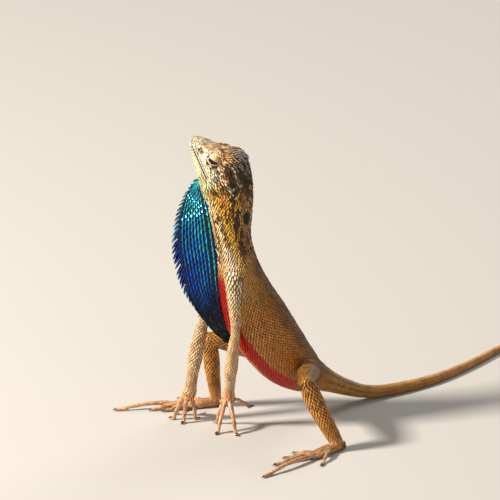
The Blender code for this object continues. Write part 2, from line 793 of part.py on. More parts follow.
def floor_cutter():
    """Box under the floor, for the flats that the hands and feet stand on."""
    reach, depth = 60.0, 4.0
    corners = [(x, y, z) for x in (-reach, reach) for y in (-reach, reach) for z in (-depth, 0.0)]
    faces = [(0, 1, 3, 2), (4, 6, 7, 5), (0, 4, 5, 1), (2, 3, 7, 6), (0, 2, 6, 4), (1, 5, 7, 3)]
    return make_object("floor_cutter", corners, faces)


def arm_nodes(label, rows, fingers):
    frames = ring_frames(blend_rows(rows, 2), ARM_ACROSS)
    elbow, wrist = 2 * ELBOW_ROW, 2 * WRIST_ROW
    upper = tube("upper_arm_" + label, frames[:elbow + 1], ARM_SIDES, end="flat")
    apply_boolean(upper, "DIFFERENCE", grown_body())
    fore = tube("forearm_" + label, frames[elbow:wrist + 1], ARM_SIDES, start="flat", end="flat")
    hand = tube("hand_" + label, frames[wrist:], ARM_SIDES, start="flat")
    palm = Vector(rows[-1][:3])
    digits = []
    for x, y, z, thickness in fingers:
        tip = Vector((x, y, z))
        away = tip - palm
        away.z = 0.0
        root = palm + away.normalized() * FINGER_ROOT_OUT + Vector((0.0, 0.0, FINGER_ROOT_UP))
        digits.append(digit(root, tip, thickness, FINGER_SIDES, FINGER_LAID))
    apply_boolean(hand, "UNION", digits, "MANIFOLD")
    apply_boolean(hand, "DIFFERENCE", [floor_cutter()])
    return [upper, fore, hand]


def leg_nodes(label, thigh_rows, shin_rows, sole_rows, toes, side_sign):
    run = Vector(thigh_rows[-1][:3]) - Vector(thigh_rows[0][:3])
    across = run.cross(Vector((0.0, 0.0, 1.0))).normalized()
    thigh_frames = ring_frames(blend_rows(thigh_rows, 2), across)
    thigh = tube("thigh_" + label, thigh_frames, ARM_SIDES)
    apply_boolean(thigh, "DIFFERENCE", grown_body())
    shin_frames = ring_frames(blend_rows(shin_rows, 2), across)
    shin = tube("shin_" + label, shin_frames, ARM_SIDES)
    apply_boolean(shin, "DIFFERENCE", [tube("cutter", thigh_frames, ARM_SIDES, GAP)])
    flat = Vector((side_sign, 0.0, 0.0))
    sole_frames = ring_frames(blend_rows(sole_rows, 2), flat)
    foot = tube("foot_" + label, sole_frames, ARM_SIDES)
    front = sole_frames[-1]
    digits = []
    for place, behind, (x, y, z, thickness) in zip(TOE_ROOTS, TOE_ROOTS_BACK, toes):
        root = front[0] + front[1] * place - front[3] * behind
        tip = Vector((x, y, z))
        digits.append(digit(root, tip, thickness, TOE_SIDES, TOE_LAID))
    apply_boolean(foot, "UNION", digits, "MANIFOLD")
    apply_boolean(foot, "DIFFERENCE", [tube("cutter", shin_frames, ARM_SIDES, GAP), floor_cutter()])
    return [thigh, shin, foot]


# Assembly


def settle(items):
    """Moves everything so that the bottom centre of the whole is the origin."""
    corners = [v.co for item in items for v in item.data.vertices]
    low = Vector([min(c[i] for c in corners) for i in range(3)])
    high = Vector([max(c[i] for c in corners) for i in range(3)])
    shift = Vector(((low.x + high.x) / 2, (low.y + high.y) / 2, low.z))
    for item in items:
        for vertex in item.data.vertices:
            vertex.co -= shift


def main():
    clear_scene()
    skin = make_material("scaled_skin", (0.55, 0.38, 0.2), 0.6)
    fan_skin = make_material("fan_skin", (0.02, 0.2, 0.6), 0.4)
    eye = make_material("eye_surface", (0.03, 0.02, 0.015), 0.1)
    skinned = [head_node()] + body_nodes()
    skinned += arm_nodes("left", ARM_LEFT, FINGERS_LEFT)
    skinned += arm_nodes("right", ARM_RIGHT, FINGERS_RIGHT)
    skinned += leg_nodes("left", THIGH_LEFT, SHIN_LEFT, SOLE_LEFT, TOES_LEFT, 1)
    skinned += leg_nodes("right", THIGH_RIGHT, SHIN_RIGHT, SOLE_RIGHT, TOES_RIGHT, -1)
    eyes = [eye_node("eye_left", 1), eye_node("eye_right", -1)]
    fan = [fan_node()]
    for group, material in ((skinned, skin), (eyes, eye), (fan, fan_skin)):
        for item in group:
            finish_node(item, material)
    settle(skinned + eyes + fan)


main()
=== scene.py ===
# Superb fan-throated lizard, adult male in display posture: skin, scales, eyes, claws and fan.
# Sizes in this file are millimetres in the body's own measures, and SHIFT moves them to the frame.

import math

import bmesh
import bpy
import numpy as np
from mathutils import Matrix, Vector, noise
from mathutils.bvhtree import BVHTree
from mathutils.kdtree import KDTree


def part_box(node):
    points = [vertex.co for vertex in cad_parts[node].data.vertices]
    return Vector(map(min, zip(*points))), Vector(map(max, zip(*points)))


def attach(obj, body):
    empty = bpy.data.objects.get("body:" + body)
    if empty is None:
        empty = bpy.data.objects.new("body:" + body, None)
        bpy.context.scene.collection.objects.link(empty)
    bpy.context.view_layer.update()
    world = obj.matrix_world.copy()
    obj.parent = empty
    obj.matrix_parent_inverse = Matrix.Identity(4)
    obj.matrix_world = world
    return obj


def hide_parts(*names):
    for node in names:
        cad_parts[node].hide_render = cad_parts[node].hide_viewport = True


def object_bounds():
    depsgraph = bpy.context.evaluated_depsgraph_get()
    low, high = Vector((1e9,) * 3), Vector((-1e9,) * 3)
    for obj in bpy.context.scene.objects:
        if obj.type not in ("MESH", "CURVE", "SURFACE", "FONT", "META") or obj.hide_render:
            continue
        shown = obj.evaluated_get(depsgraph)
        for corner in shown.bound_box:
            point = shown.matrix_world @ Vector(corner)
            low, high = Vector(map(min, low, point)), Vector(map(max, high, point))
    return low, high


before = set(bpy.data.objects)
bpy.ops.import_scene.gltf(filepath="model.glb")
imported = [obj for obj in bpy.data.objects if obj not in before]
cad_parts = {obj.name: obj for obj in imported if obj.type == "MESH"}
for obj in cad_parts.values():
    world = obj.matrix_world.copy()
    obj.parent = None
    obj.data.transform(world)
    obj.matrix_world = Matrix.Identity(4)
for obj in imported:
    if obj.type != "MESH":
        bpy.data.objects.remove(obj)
CAD_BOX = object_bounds()
BOX_ROOM = 0.03  # the scales end this far inside the box of the solids

MM = 0.001
SEED = 11
SIDES = ((1, "left"), (-1, "right"))
COAT = 0.16  # depth of the scales over the skin
DIGIT_COAT = 0.08
VOXEL = 0.2
# Steps between two rows of a table, and sides of the tube.
BODY_STEPS, BODY_SIDES = 8, 48
LIMB_STEPS, LIMB_SIDES = 6, 24
DIGIT_STEPS, DIGIT_SIDES = 4, 12
ROUND_END = 0.8  # length of a tube's round end, in its own half widths
END_ROWS = (0.29, 0.54, 0.76, 0.92)  # rings of a round end, as shares of it
STOUT_ABOVE = 8.5  # height above which the skin is smoothed most
SMOOTHINGS = (3, 12)  # passes over the whole skin, and over what is above that height

# Scales
PATCH = 0.003  # size of one scale on its baking map
OVERLAP = 2.15  # length of a scale, in steps from row to row
SCALE_MIDDLE = 0.42  # share of its length from its root to its middle
SCALE_APART = 0.55  # least distance of two roots, in widths
DEEPEST = 0.3  # scales further under the skin than this are left out
FURTHEST = 1.2  # so are those that find no skin this near
WIDER = 1.06  # width of a scale, in its share of the girth
LEAST_BEND = 0.3  # radius of the narrowest scales from side to side
SIZE_SPREAD = 0.06
SHADE_SPREAD, FAN_SPREAD, BEAD_SPREAD = 0.13, 0.16, 0.1
FULL_WIDTH = 0.5  # narrower scales have lower keels
BARE_REACH = 0.66  # distance from the nearest scale, in its widths, where skin counts as bare
WIDEST_FILL = 0.9  # widest scale used to fill bare skin
FILL_APART = 1.2
FILL_CELL = 0.8
SKIN_SHADE = 0.45  # painted shade of the bare skin between the scales: how dark it is

# Body axis from the nape to the tail tip: x, y, z, half width, half depth, yaw in degrees.
AXIS = [
    (-8.6, -13.1, 63.5, 4.35, 5.3, 40),
    (-8.7, -13.6, 60.0, 4.3, 5.7, 36),
    (-8.3, -13.7, 55.3, 4.3, 5.3, 30),
    (-7.8, -13.6, 49.4, 4.7, 4.6, 25),
    (-7.0, -13.0, 43.6, 5.7, 4.9, 22),
    (-6.05, -11.6, 36.2, 6.7, 6.35, 20),
    (-4.55, -8.5, 27.4, 7.3, 7.85, 17),
    (-3.0, -2.2, 17.4, 7.0, 7.3, 12),
    (-2.0, 3.2, 12.0, 5.4, 5.7, 8),
    (-1.5, 8.0, 9.2, 3.7, 3.6, 4),
    (-1.2, 12.0, 6.9, 2.7, 2.6, 0),
    (-1.0, 16.2, 4.7, 2.15, 2.1, -2),
    (-0.7, 20.6, 2.8, 1.8, 1.75, -4),
    (-0.2, 25.2, 1.65, 1.6, 1.6, -5),
    (0.4, 30.0, 1.36, 1.48, 1.48, -3),
    (0.6, 36.0, 1.24, 1.36, 1.36, 2),
    (0.2, 43.0, 1.13, 1.24, 1.24, 7),
    (-1.3, 50.5, 1.03, 1.13, 1.13, 12),
    (-3.6, 58.5, 0.94, 1.03, 1.03, 16),
    (-6.6, 67.0, 0.86, 0.95, 0.95, 18),
    (-9.9, 76.0, 0.78, 0.86, 0.86, 19),
    (-13.2, 85.5, 0.70, 0.77, 0.77, 18),
    (-16.3, 95.5, 0.62, 0.68, 0.68, 14),
    (-18.2, 105.5, 0.54, 0.59, 0.59, 7),
    (-18.6, 115.5, 0.46, 0.5, 0.5, -3),
    (-17.1, 125.5, 0.38, 0.41, 0.41, -13),
    (-14.4, 134.0, 0.28, 0.31, 0.31, -22),
]
# Lengths of each course with the same number of scales round: first row, last row, scales round.
BODY_BANDS = [(0, 4, 42), (3.9, 8.6, 56), (8.48, 9.3, 48), (9.2, 10.0, 38), (9.9, 10.9, 31), (10.8, 12.2, 26),
              (12.1, 14, 21), (13.9, 16.5, 17), (16.4, 19.5, 13), (19.4, 26, 10)]
HEAD_BANDS = [(0.1, 1.3, 14), (1.3, 3.6, 24), (3.6, 7.4, 36), (7.4, 16.4, 50)]
ARM_BANDS = [(0, 10.5, 13)]
THIGH_BANDS = [(0, 1.8, 22), (1.8, 5.02, 14)]
SHIN_BANDS = [(0, 5.5, 15)]
SOLE_BANDS = [(0, 4.5, 15)]

SNOUT = Vector((-16.6, -19.2, 73.4))
HEAD_YAW = 47.5
HEAD_PITCH = 45.2
# Distance behind the snout tip, top, widest level, underside, half width, squareness above, below.
HEAD_ROWS = [
    (0.0, 1.1, -0.1, -1.1, 1.3, 2.2, 2.2),
    (0.8, 1.7, -0.2, -1.9, 2.0, 2.3, 2.2),
    (2.2, 2.3, -0.4, -2.8, 2.6, 2.4, 2.1),
    (4.0, 2.9, -0.6, -3.8, 3.25, 2.5, 2.0),
    (5.8, 3.6, -0.6, -4.9, 4.05, 2.6, 2.0),
    (7.6, 5.0, -0.6, -6.0, 4.75, 2.9, 1.9),
    (9.4, 6.4, -0.7, -7.1, 5.2, 3.1, 1.8),
    (11.4, 6.6, -0.8, -8.3, 5.6, 3.1, 1.8),
    (13.4, 5.9, -0.8, -9.2, 5.65, 2.7, 1.8),
    (15.2, 4.9, -0.9, -9.2, 5.3, 2.3, 1.9),
    (16.6, 4.2, -1.1, -8.2, 4.8, 2.0, 2.0),
]
HEAD_SIDES = 64
HEAD_STATIONS = np.concatenate([np.linspace(0.0, 2.0, 11), np.linspace(2.2, 16.6, 73)])
NOSE_CAP = [(0.38, 0.62), (0.3, 0.36), (0.16, 0.14)]  # how far ahead of the snout, how much smaller
REAR_CAP = [(0.9, 0.6), (0.7, 1.2), (0.4, 1.6)]  # size, how far behind the last ring
# Places on the side of the head: distance behind the snout tip and height.
EYE = (7.0, 1.6)
LID = (6.9, 1.9)  # middle of the domed lids
EAR = (14.4, 1.0)
NOSTRIL = (2.7, 0.25)
EAR_OPEN = 0.7
EAR_TALL = 1.35
MOUTH_START = -0.55  # height of the mouth line at the snout
MOUTH_SLOPE = 0.25
MOUTH_END = 9.6
MOUTH_DEPTH = 0.26
NOSTRIL_DEPTH = 0.42
EAR_DEPTH = 0.22
EYE_SUNK = 0.9
EYE_RADIUS = 1.4
SLIT_TILT = 13.0  # degrees that the eye opening rises towards the back
SLIT_HALF = 57.0  # half length of the opening, seen from the centre of the eye
SLIT_HIGH = 12.0
SLIT_LOW = -25.0
SLIT_ROUND = 0.55  # height over length of the eye opening with its rims
LID_BULGE = 0.42
LID_RIM = (0.1, 7.0, 6.0)  # how far the rims stand out, and where and how wide, in degrees
LID_THICK = 0.13  # least distance of the lids' skin from the eyeball
BEADS_AT = 0.16  # the same for the roots of their beads
# Features: place, height over length, how far they reach, how far from the middle they start.
FINE_PLACES = [(EYE, 1.0, 2.6, 1.8), (NOSTRIL, 1.0, 0.8, 0.8), (EAR, 1.0, 1.9, 2.0)]
FINE_MOUTH = (0.45, MOUTH_END + 0.4, -1.0)  # half width and end of the mouth line, front of the head
OPEN_PLACES = [(EAR, 1.3, EAR_OPEN, 2.0), (NOSTRIL, 1.0, 0.34, 0.8)]
OPEN_MOUTH = (0.16, MOUTH_END)
LID_REACH, LID_START = 1.85, 1.8
# Rows of larger scales: places of back and up, width and length, colour, keel, lift.
HEAD_LINES = [
    ([(0.5, -0.28), (9.2, -2.45)], (0.6, 0.8), (194, 186, 158), 0.03, 0.1),
    ([(0.5, -1.05), (9.2, -3.22)], (0.55, 0.75), (194, 182, 150), 0.03, 0.1),
    ([(1.6, 1.5), (3.4, 2.0), (5.0, 3.0), (6.2, 3.75), (7.6, 3.9), (8.8, 3.3)], (0.5, 0.95),
     (206, 158, 104), 0.14, 0.2),
]
# Swellings of the head: height, back, up, size along, size up and down, how far out they start.
SWELLS = [
    (0.5, 6.8, 3.4, 2.3, 0.8, 1.0),  # brow
    (0.35, *EYE, 1.9, 1.6, 0.0),  # dome of the eye
    (0.15, 3.2, 1.7, 2.0, 0.6, 0.8),  # ridge over the nostril
    (-0.3, 4.2, 0.4, 1.2, 0.9, 0.0),  # hollow in front of the eye
    (0.35, 12.0, -2.6, 2.4, 1.9, 0.0),  # jaw muscle
]
LIP_SWELL = 0.15
LIP_WIDTH = 0.9
LIP_END = 9.5

# Share of the fan's length and its width there.
FAN_WIDTHS = [
    (0.00, 0.5), (0.05, 2.3), (0.10, 4.2), (0.17, 6.2), (0.25, 7.9), (0.33, 9.0), (0.40, 9.4),
    (0.50, 9.1), (0.60, 8.2), (0.75, 5.7), (0.90, 2.8), (1.00, 0.5),
]
FAN_ROWS = 11
FAN_STEP = 1.5  # from one scale of a row to the next
FAN_STATIONS = 121
FAN_PLACES = 481  # places of the root line
FAN_BLEND = 61  # places of the root line that are averaged to one
FAN_SUNK = 1.2
FAN_HALF = 0.22
FAN_RIPPLE = 0.06
FAN_TAPER = 0.45  # how much thinner the free edge is than the root
FAN_INNER = (1.0, 1.08, 2.0)  # scales in a row, their width and their length, as shares
FAN_EDGE = (1.35, 0.95, 2.2)  # the same at the free edge
FAN_KEEL = 0.2
FAN_WIDTH_LIMITS = (0.42, 1.2)
FAN_FULL = 3.0  # width from which the fan has its full thickness
# The fan's root: first and last distance behind the snout tip, or row of the body axis, and step.
FAN_HEAD = (8.4, 13.3, 1.2)
FAN_BODY = (2.0, 6.25, 0.25)

# Limbs: x, y, z, half width, half depth from the root outwards.
ARM_LEFT = [
    (-6.2, -13.4, 44.4, 2.4, 2.8),
    (-3.2, -15.9, 40.6, 2.4, 2.6),
    (-2.1, -16.9, 34.4, 1.75, 1.8),
    (-1.5, -17.0, 29.6, 1.3, 1.35),
    (-1.6, -17.0, 26.2, 1.1, 1.15),
    (-2.4, -17.0, 22.5, 1.35, 1.4),
    (-3.5, -16.8, 17.6, 1.55, 1.6),
    (-4.5, -16.7, 13.2, 1.4, 1.5),
    (-5.0, -16.6, 10.2, 1.2, 1.4),
    (-5.1, -16.7, 8.2, 1.25, 1.6),
    (-5.0, -17.0, 7.0, 1.0, 1.5),
]
ARM_RIGHT = [
    (-9.8, -11.4, 43.6, 2.4, 2.8),
    (-12.2, -13.2, 39.6, 2.4, 2.6),
    (-13.5, -15.6, 33.2, 1.9, 2.0),
    (-14.2, -17.3, 28.4, 1.45, 1.55),
    (-14.5, -18.1, 24.9, 1.4, 1.45),
    (-14.5, -19.2, 20.8, 1.7, 1.8),
    (-14.4, -20.4, 16.2, 1.65, 1.8),
    (-14.3, -21.3, 12.2, 1.35, 1.5),
    (-14.3, -21.8, 9.3, 1.3, 1.55),
    (-14.4, -22.2, 7.4, 1.3, 1.7),
    (-14.5, -22.4, 6.3, 1.0, 1.4),
]
ARM_ACROSS = (0.93, -0.37, 0.0)
# Fingers and toes: x, y, z of the tip, thickness.
FINGERS_LEFT = [
    (-8.0, -18.4, 6.6, 0.48),
    (-10.2, -18.2, 0.25, 0.52),
    (-2.2, -22.9, 0.25, 0.55),
    (1.8, -18.7, 0.25, 0.55),
    (-2.3, -10.6, 5.0, 0.45),
]
FINGERS_RIGHT = [
    (-13.2, -19.3, 0.25, 0.48),
    (-12.9, -25.9, 0.25, 0.52),
    (-18.2, -26.2, 0.25, 0.55),
    (-21.0, -22.7, 0.25, 0.55),
    (-17.6, -17.4, 1.4, 0.45),
]
THIGH_LEFT = [
    (1.6, 2.4, 13.0, 3.2, 3.0),
    (4.6, 0.9, 13.8, 3.3, 3.0),
    (8.6, -2.0, 15.1, 3.05, 2.75),
    (12.6, -5.2, 16.3, 2.65, 2.45),
    (15.6, -7.7, 17.0, 2.3, 2.2),
    (17.6, -9.2, 17.1, 1.9, 1.9),
]
SHIN_LEFT = [
    (17.2, -8.9, 17.6, 1.6, 1.6),
    (17.9, -8.4, 15.6, 2.2, 2.2),
    (19.1, -7.1, 11.6, 2.35, 2.35),
    (20.7, -5.6, 7.4, 2.1, 2.1),
    (22.1, -4.2, 3.8, 1.8, 1.75),
    (22.8, -3.6, 2.1, 1.65, 1.55),
]
THIGH_RIGHT = [
    (-5.6, 3.4, 13.0, 3.2, 3.0),
    (-7.8, 0.6, 14.0, 3.3, 3.0),
    (-10.6, -3.4, 15.6, 3.0, 2.75),
    (-13.7, -7.8, 17.2, 2.6, 2.45),
    (-16.2, -11.2, 18.4, 2.2, 2.2),
    (-18.0, -13.4, 18.8, 1.8, 1.9),
]
SHIN_RIGHT = [
    (-17.7, -13.1, 19.2, 1.5, 1.6),
    (-17.9, -13.2, 17.2, 1.9, 1.9),
    (-18.2, -12.8, 13.2, 2.0, 2.05),
    (-18.5, -12.1, 8.4, 1.8, 1.8),
    (-18.7, -11.4, 4.2, 1.5, 1.5),
    (-18.8, -11.1, 2.0, 1.35, 1.35),
]
SOLE_LEFT = [
    (22.9, -1.9, 1.05, 1.2, 1.15),
    (23.1, -4.6, 1.15, 1.5, 1.3),
    (23.4, -8.0, 0.95, 1.75, 1.05),
    (23.65, -10.6, 0.75, 1.85, 0.8),
    (23.75, -11.9, 0.6, 1.6, 0.6),
]
SOLE_RIGHT = [
    (-18.3, -9.6, 1.05, 1.2, 1.15),
    (-19.2, -12.2, 1.15, 1.5, 1.3),
    (-20.6, -15.4, 0.95, 1.75, 1.05),
    (-21.75, -17.7, 0.75, 1.85, 0.8),
    (-22.3, -18.9, 0.6, 1.6, 0.6),
]
TOES_LEFT = [
    (18.6, -14.4, 0.25, 0.5),
    (20.2, -18.4, 0.25, 0.52),
    (22.6, -22.9, 0.25, 0.55),
    (27.6, -29.6, 0.25, 0.55),
    (29.9, -13.6, 0.25, 0.5),
]
TOES_RIGHT = [
    (-19.3, -20.8, 0.25, 0.5),
    (-22.8, -25.2, 0.25, 0.52),
    (-25.4, -27.4, 0.25, 0.55),
    (-30.6, -34.6, 0.25, 0.55),
    (-28.2, -16.8, 0.25, 0.5),
]
TOE_ROOTS = (-1.25, -0.75, 0.0, 0.7, 1.1)  # from the middle of the foot's front outwards
DIGIT_SHARES = (0.0, 0.14, 0.28, 0.42, 0.56, 0.7, 0.84, 1.0)  # places along a digit, up to its pad
FINGER_LAID = 0.5  # length of a finger that lies flat before its claw
TOE_LAID = 1.6
CLAW_LENGTH = 1.1
CLAW_TIP_UP = 0.2  # height of a claw's tip over what its digit lies on

# View and light, in the frame's metres
CAMERA_TURN = 55.0
CAMERA_LIFT = 20.0
CAMERA_AIM = Vector((-14.51, -3.58, 41.52))  # millimetres
CAMERA_AWAY = 1.389
CAMERA_LENS = 400.0
CAMERA_REACH = 20.0
FLOOR_REACH = 4.0
LIGHT_AIM = Vector((-0.01, -0.05, 0.035))
# Place, size, power, colour.
LIGHTS = {
    "key": ((-0.3, -0.75, 0.6), 0.14, 17.0, (1.0, 0.93, 0.83)),
    "fill": ((0.95, -0.15, 0.45), 0.7, 1.0, (1.0, 0.98, 0.95)),
    "rim": ((-0.3, 0.8, 0.6), 0.5, 4.0, (1.0, 0.97, 0.93)),
}
SKY = (1.0, 0.98, 0.95, 1.0)
SKY_LIGHT = 0.24


# Numbers


def unit(v):
    return v / np.maximum(np.linalg.norm(v, axis=-1, keepdims=True), 1e-12)


def dot(a, b):
    return (a * b).sum(axis=-1, keepdims=True)


def leftwards(turn):
    """Way to the left of something that faces a yaw, in radians."""
    return np.stack([np.cos(turn), -np.sin(turn), 0 * turn], axis=-1)


def round_turns(count, first=0.0):
    """Angles spaced evenly round a circle, the first of them given in steps."""
    return 2 * math.pi * (np.arange(count) + first) / count


def smooth(x, low, high):
    """0 below low, 1 above high, with an eased step between."""
    t = np.clip((x - low) / (high - low), 0.0, 1.0)
    return t * t * (3 - 2 * t)


def fall(x, low, high):
    """1 below low, 0 above high, with an eased step between."""
    return smooth(-x, -high, -low)


def bell(x, middle, width):
    return np.exp(-(((x - middle) / width) ** 2))


def level(x, table, column=1):
    """Value of a table's column where its first column reaches x."""
    table = np.asarray(table)
    return np.interp(x, table[:, 0], table[:, column])


def reaches(path):
    """Distance along a path from its first place to each of its places."""
    return np.concatenate([[0], np.cumsum(np.linalg.norm(np.diff(path, axis=0), axis=1))])


def on_path(at, knots, places):
    """Places of a path at positions between its knots."""
    return np.stack([np.interp(at, knots, places[:, k]) for k in range(places.shape[1])], axis=-1)


def tree_of(points):
    tree = KDTree(len(points))
    for i, place in enumerate(points.tolist()):
        tree.insert(place, i)
    tree.balance()
    return tree


def nearest(tree, points):
    """Number of the nearest place in a tree and its distance, for each point."""
    found = [tree.find(place) for place in points.tolist()]
    return np.array([one[1] for one in found]), np.array([one[2] for one in found])


def colour(red, green, blue):
    """Linear colour from the usual 0 to 255 numbers."""
    c = np.array([red, green, blue]) / 255.0
    return np.where(c <= 0.04045, c / 12.92, ((c + 0.055) / 1.055) ** 2.4)


def mix(a, b, t):
    t = np.asarray(t)[..., None]
    return a * (1 - t) + b * t


def paint(tint, *layers):
    """Colours laid one over another, each with its share at every point."""
    for tone, share in layers:
        tint = mix(tint, tone, share)
    return tint


def varied(tint, spread, draw):
    """Colours made a little lighter or darker at random."""
    return np.clip(tint * (1 + spread * draw.standard_normal(len(tint)))[:, None], 0, 1)


def clouds(points, size, shift):
    """Soft seeded noise between about -1 and 1 at each point."""
    away = Vector((shift, -shift, 2 * shift))
    return np.array([noise.noise(Vector(p) / size + away) for p in points])


def blend_rows(rows, steps):
    """Smooth curve through rows of numbers, with the given steps from each row to the next."""
    rows = np.array(rows, dtype=float)
    last = len(rows) - 1
    out = []
    for i in range(last):
        a, b, c, d = rows[max(i - 1, 0)], rows[i], rows[i + 1], rows[min(i + 2, last)]
        for k in range(steps):
            t = k / steps
            out.append(0.5 * (2 * b + (c - a) * t + (2 * a - 5 * b + 4 * c - d) * t * t
                              + (3 * b - a - 3 * c + d) * t ** 3))
    out.append(rows[last])
    return np.array(out)


class Course:
    """A tapering tube along a curve: place, side and top at each row, and the sizes there."""

    def __init__(self, rows, steps, across=None):
        dense = blend_rows(rows, steps)
        self.steps = steps
        self.centre = dense[:, :3]
        along = np.empty_like(self.centre)
        along[1:-1] = self.centre[2:] - self.centre[:-2]
        along[0] = self.centre[1] - self.centre[0]
        along[-1] = self.centre[-1] - self.centre[-2]
        self.along = unit(along)
        if across is None:
            side = leftwards(np.radians(dense[:, 5]))
        else:
            side = np.broadcast_to(np.array(across, dtype=float), self.centre.shape)
        self.side = unit(side - self.along * dot(side, self.along))
        self.top = np.cross(self.side, self.along)
        self.half = dense[:, 3:5]
        self.rows = len(dense) - 1

    def at(self, values, row):
        """Values of the dense rows at any row position of the original table."""
        place = np.clip(np.asarray(row) * self.steps, 0, self.rows)
        low = np.minimum(place.astype(int), self.rows - 1)
        share = (place - low)[..., None]
        return values[low] * (1 - share) + values[low + 1] * share

    def bow(self, row):
        """Quarter turn over the round end, for rows past either end of the table."""
        past = np.maximum(-np.asarray(row, dtype=float), row - self.rows / self.steps)
        return np.clip(past, 0.0, 1.0) * 0.5 * math.pi

    def point(self, row, turn, grow=0.0):
        row = np.asarray(row, dtype=float)
        half = self.at(self.half, row) + grow
        thin = np.cos(self.bow(row))
        ahead = np.sign(row) * np.sin(self.bow(row)) * half.min(axis=-1) * ROUND_END
        across = self.at(self.side, row) * (np.cos(turn) * half[..., 0] * thin)[..., None]
        above = self.at(self.top, row) * (np.sin(turn) * half[..., 1] * thin)[..., None]
        return self.at(self.centre, row) + across + above + self.at(self.along, row) * ahead[..., None]

    def girth(self, row):
        half = self.at(self.half, row) * math.cos(self.bow(row))
        return float(2 * math.pi * math.sqrt((half[0] ** 2 + half[1] ** 2) / 2))

    def speed(self, row):
        """Millimetres of curve in one row of the table."""
        if self.bow(row) > 0:
            return float(self.at(self.half, row).min()) * 0.5 * math.pi
        step = self.at(self.centre, min(row + 0.05, self.rows / self.steps))
        back = self.at(self.centre, max(row - 0.05, 0.0))
        return max(0.2, float(np.linalg.norm(step - back)) / 0.1)


class HeadCourse:
    """The head as a tube of changing outline, its rows measured back from the snout tip."""

    def __init__(self):
        self.table = blend_rows(HEAD_ROWS, 6)

    def outline(self, back):
        return [level(back, self.table, k) for k in range(1, 7)]

    def local(self, back, turn, grow=0.0):
        top, middle, bottom, half, square_up, square_down = self.outline(back)
        c, s = np.cos(turn), np.sin(turn)
        power = 2 / np.where(s >= 0, square_up, square_down)
        out = np.sign(c) * np.abs(c) ** power * half
        rise = np.abs(s) ** power * np.where(s >= 0, top - middle, bottom - middle)
        reach = np.maximum(np.hypot(out, rise), 1e-9)
        swell = head_swell(back, out, middle + rise) + grow
        return back, out * (1 + swell / reach), middle + rise * (1 + swell / reach)

    def point(self, back, turn, grow=0.0):
        return head_place(*self.local(back, turn, grow))

    def girth(self, back):
        turn = np.linspace(0, 2 * math.pi, 61)
        return float(reaches(self.point(np.full(61, back), turn))[-1])

    def speed(self, back):
        return 1.0


# Head measures


def head_axes():
    yaw = math.radians(HEAD_YAW)
    pitch = math.radians(HEAD_PITCH)
    left = Vector((math.cos(yaw), -math.sin(yaw), 0.0))
    front = Vector((-math.sin(yaw), -math.cos(yaw), 0.0)) * math.cos(pitch)
    front.z = math.sin(pitch)
    return np.array(front), np.array(left), np.array(left.cross(-front))


FRONT, LEFT, UP = head_axes()


def head_place(back, out, up):
    back, out, up = (np.asarray(v, dtype=float)[..., None] for v in (back, out, up))
    return np.array(SNOUT) - FRONT * back + LEFT * out + UP * up


def head_measures(points):
    """Back from the snout tip, out to the left, and up, for points of the body."""
    away = points - np.array(SNOUT)
    return -away @ FRONT, away @ LEFT, away @ UP


def apart(back, up, place, tall=1.0):
    """Distance from a place on the side of the head, as an oval this many times as tall as long."""
    return np.hypot(back - place[0], (up - place[1]) / tall)


def on_head(back, first=-1.5, last=17.0):
    return (back > first) & (back < last)


def mouth_level(back):
    return MOUTH_START - MOUTH_SLOPE * back


def head_swell(back, out, up):
    """How far the surface stands out over the plain head, by the lips and the swellings."""
    total = LIP_SWELL * bell(up, mouth_level(back), LIP_WIDTH) * fall(back, LIP_END - 1, LIP_END)
    for height, middle_back, middle_up, size_back, size_up, start in SWELLS:
        edge = smooth(np.abs(out), start - 0.4, start + 0.6) if start else 1.0
        total = total + height * bell(back, middle_back, size_back) * bell(up, middle_up, size_up) * edge
    return total * np.minimum(1.0, back / 2.0)


def side_reach(head, back, up):
    """How far out the side of the head is at a level."""
    turns = np.linspace(-0.5 * math.pi, 0.5 * math.pi, 181)
    _, out, height = head.local(np.full(181, float(back)), turns)
    return float(np.interp(up, height, out))


def plain_reach(back, up):
    """Half width of the head at a level, without its swellings, with straight lines between its rows."""
    top, middle, bottom, half, square_up, square_down = (level(back, HEAD_ROWS, k) for k in range(1, 7))
    reach, power = (top - middle, square_up) if up >= middle else (bottom - middle, square_down)
    share = min(0.999, abs((up - middle) / reach))
    return half * (1 - share ** power) ** (1 / power)


def eye_centre(side):
    reach = plain_reach(*EYE) + float(head_swell(EYE[0], 3.0, EYE[1]))
    return head_place(EYE[0], side * (reach - EYE_SUNK), EYE[1])


def place_shift():
    """From the body's own measures to the frame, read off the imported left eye."""
    low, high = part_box("eye_left")
    middle = (Vector(low) + Vector(high)) / 2
    return np.array(middle) / MM - eye_centre(1)


# Meshes


def place_item(name, data):
    """Object in the scene from its data."""
    item = bpy.data.objects.new(name, data)
    bpy.context.scene.collection.objects.link(item)
    return item


def make_mesh(name, points, faces, material, sharp=None):
    """Mesh object from points in body millimetres and faces with the same number of corners."""
    low, high = (np.array(corner) / MM for corner in CAD_BOX)
    points = np.asarray(points, dtype=float) + SHIFT
    points = np.clip(points, low + (BOX_ROOM, BOX_ROOM, 0.0), high - BOX_ROOM)
    faces = np.asarray(faces, dtype=np.int32)
    corners = faces.shape[1]
    mesh = bpy.data.meshes.new(name)
    mesh.vertices.add(len(points))
    mesh.vertices.foreach_set("co", (points * MM).astype(np.float32).ravel())
    mesh.loops.add(faces.size)
    mesh.loops.foreach_set("vertex_index", faces.ravel())
    mesh.polygons.add(len(faces))
    mesh.polygons.foreach_set("loop_start", np.arange(0, faces.size, corners, dtype=np.int32))
    mesh.update(calc_edges=True)
    mesh.validate()
    mesh.shade_smooth()
    if sharp:
        mesh.set_sharp_from_angle(angle=math.radians(sharp))
    mesh.materials.append(material)
    item = place_item(name, mesh)
    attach(item, "root")
    return item


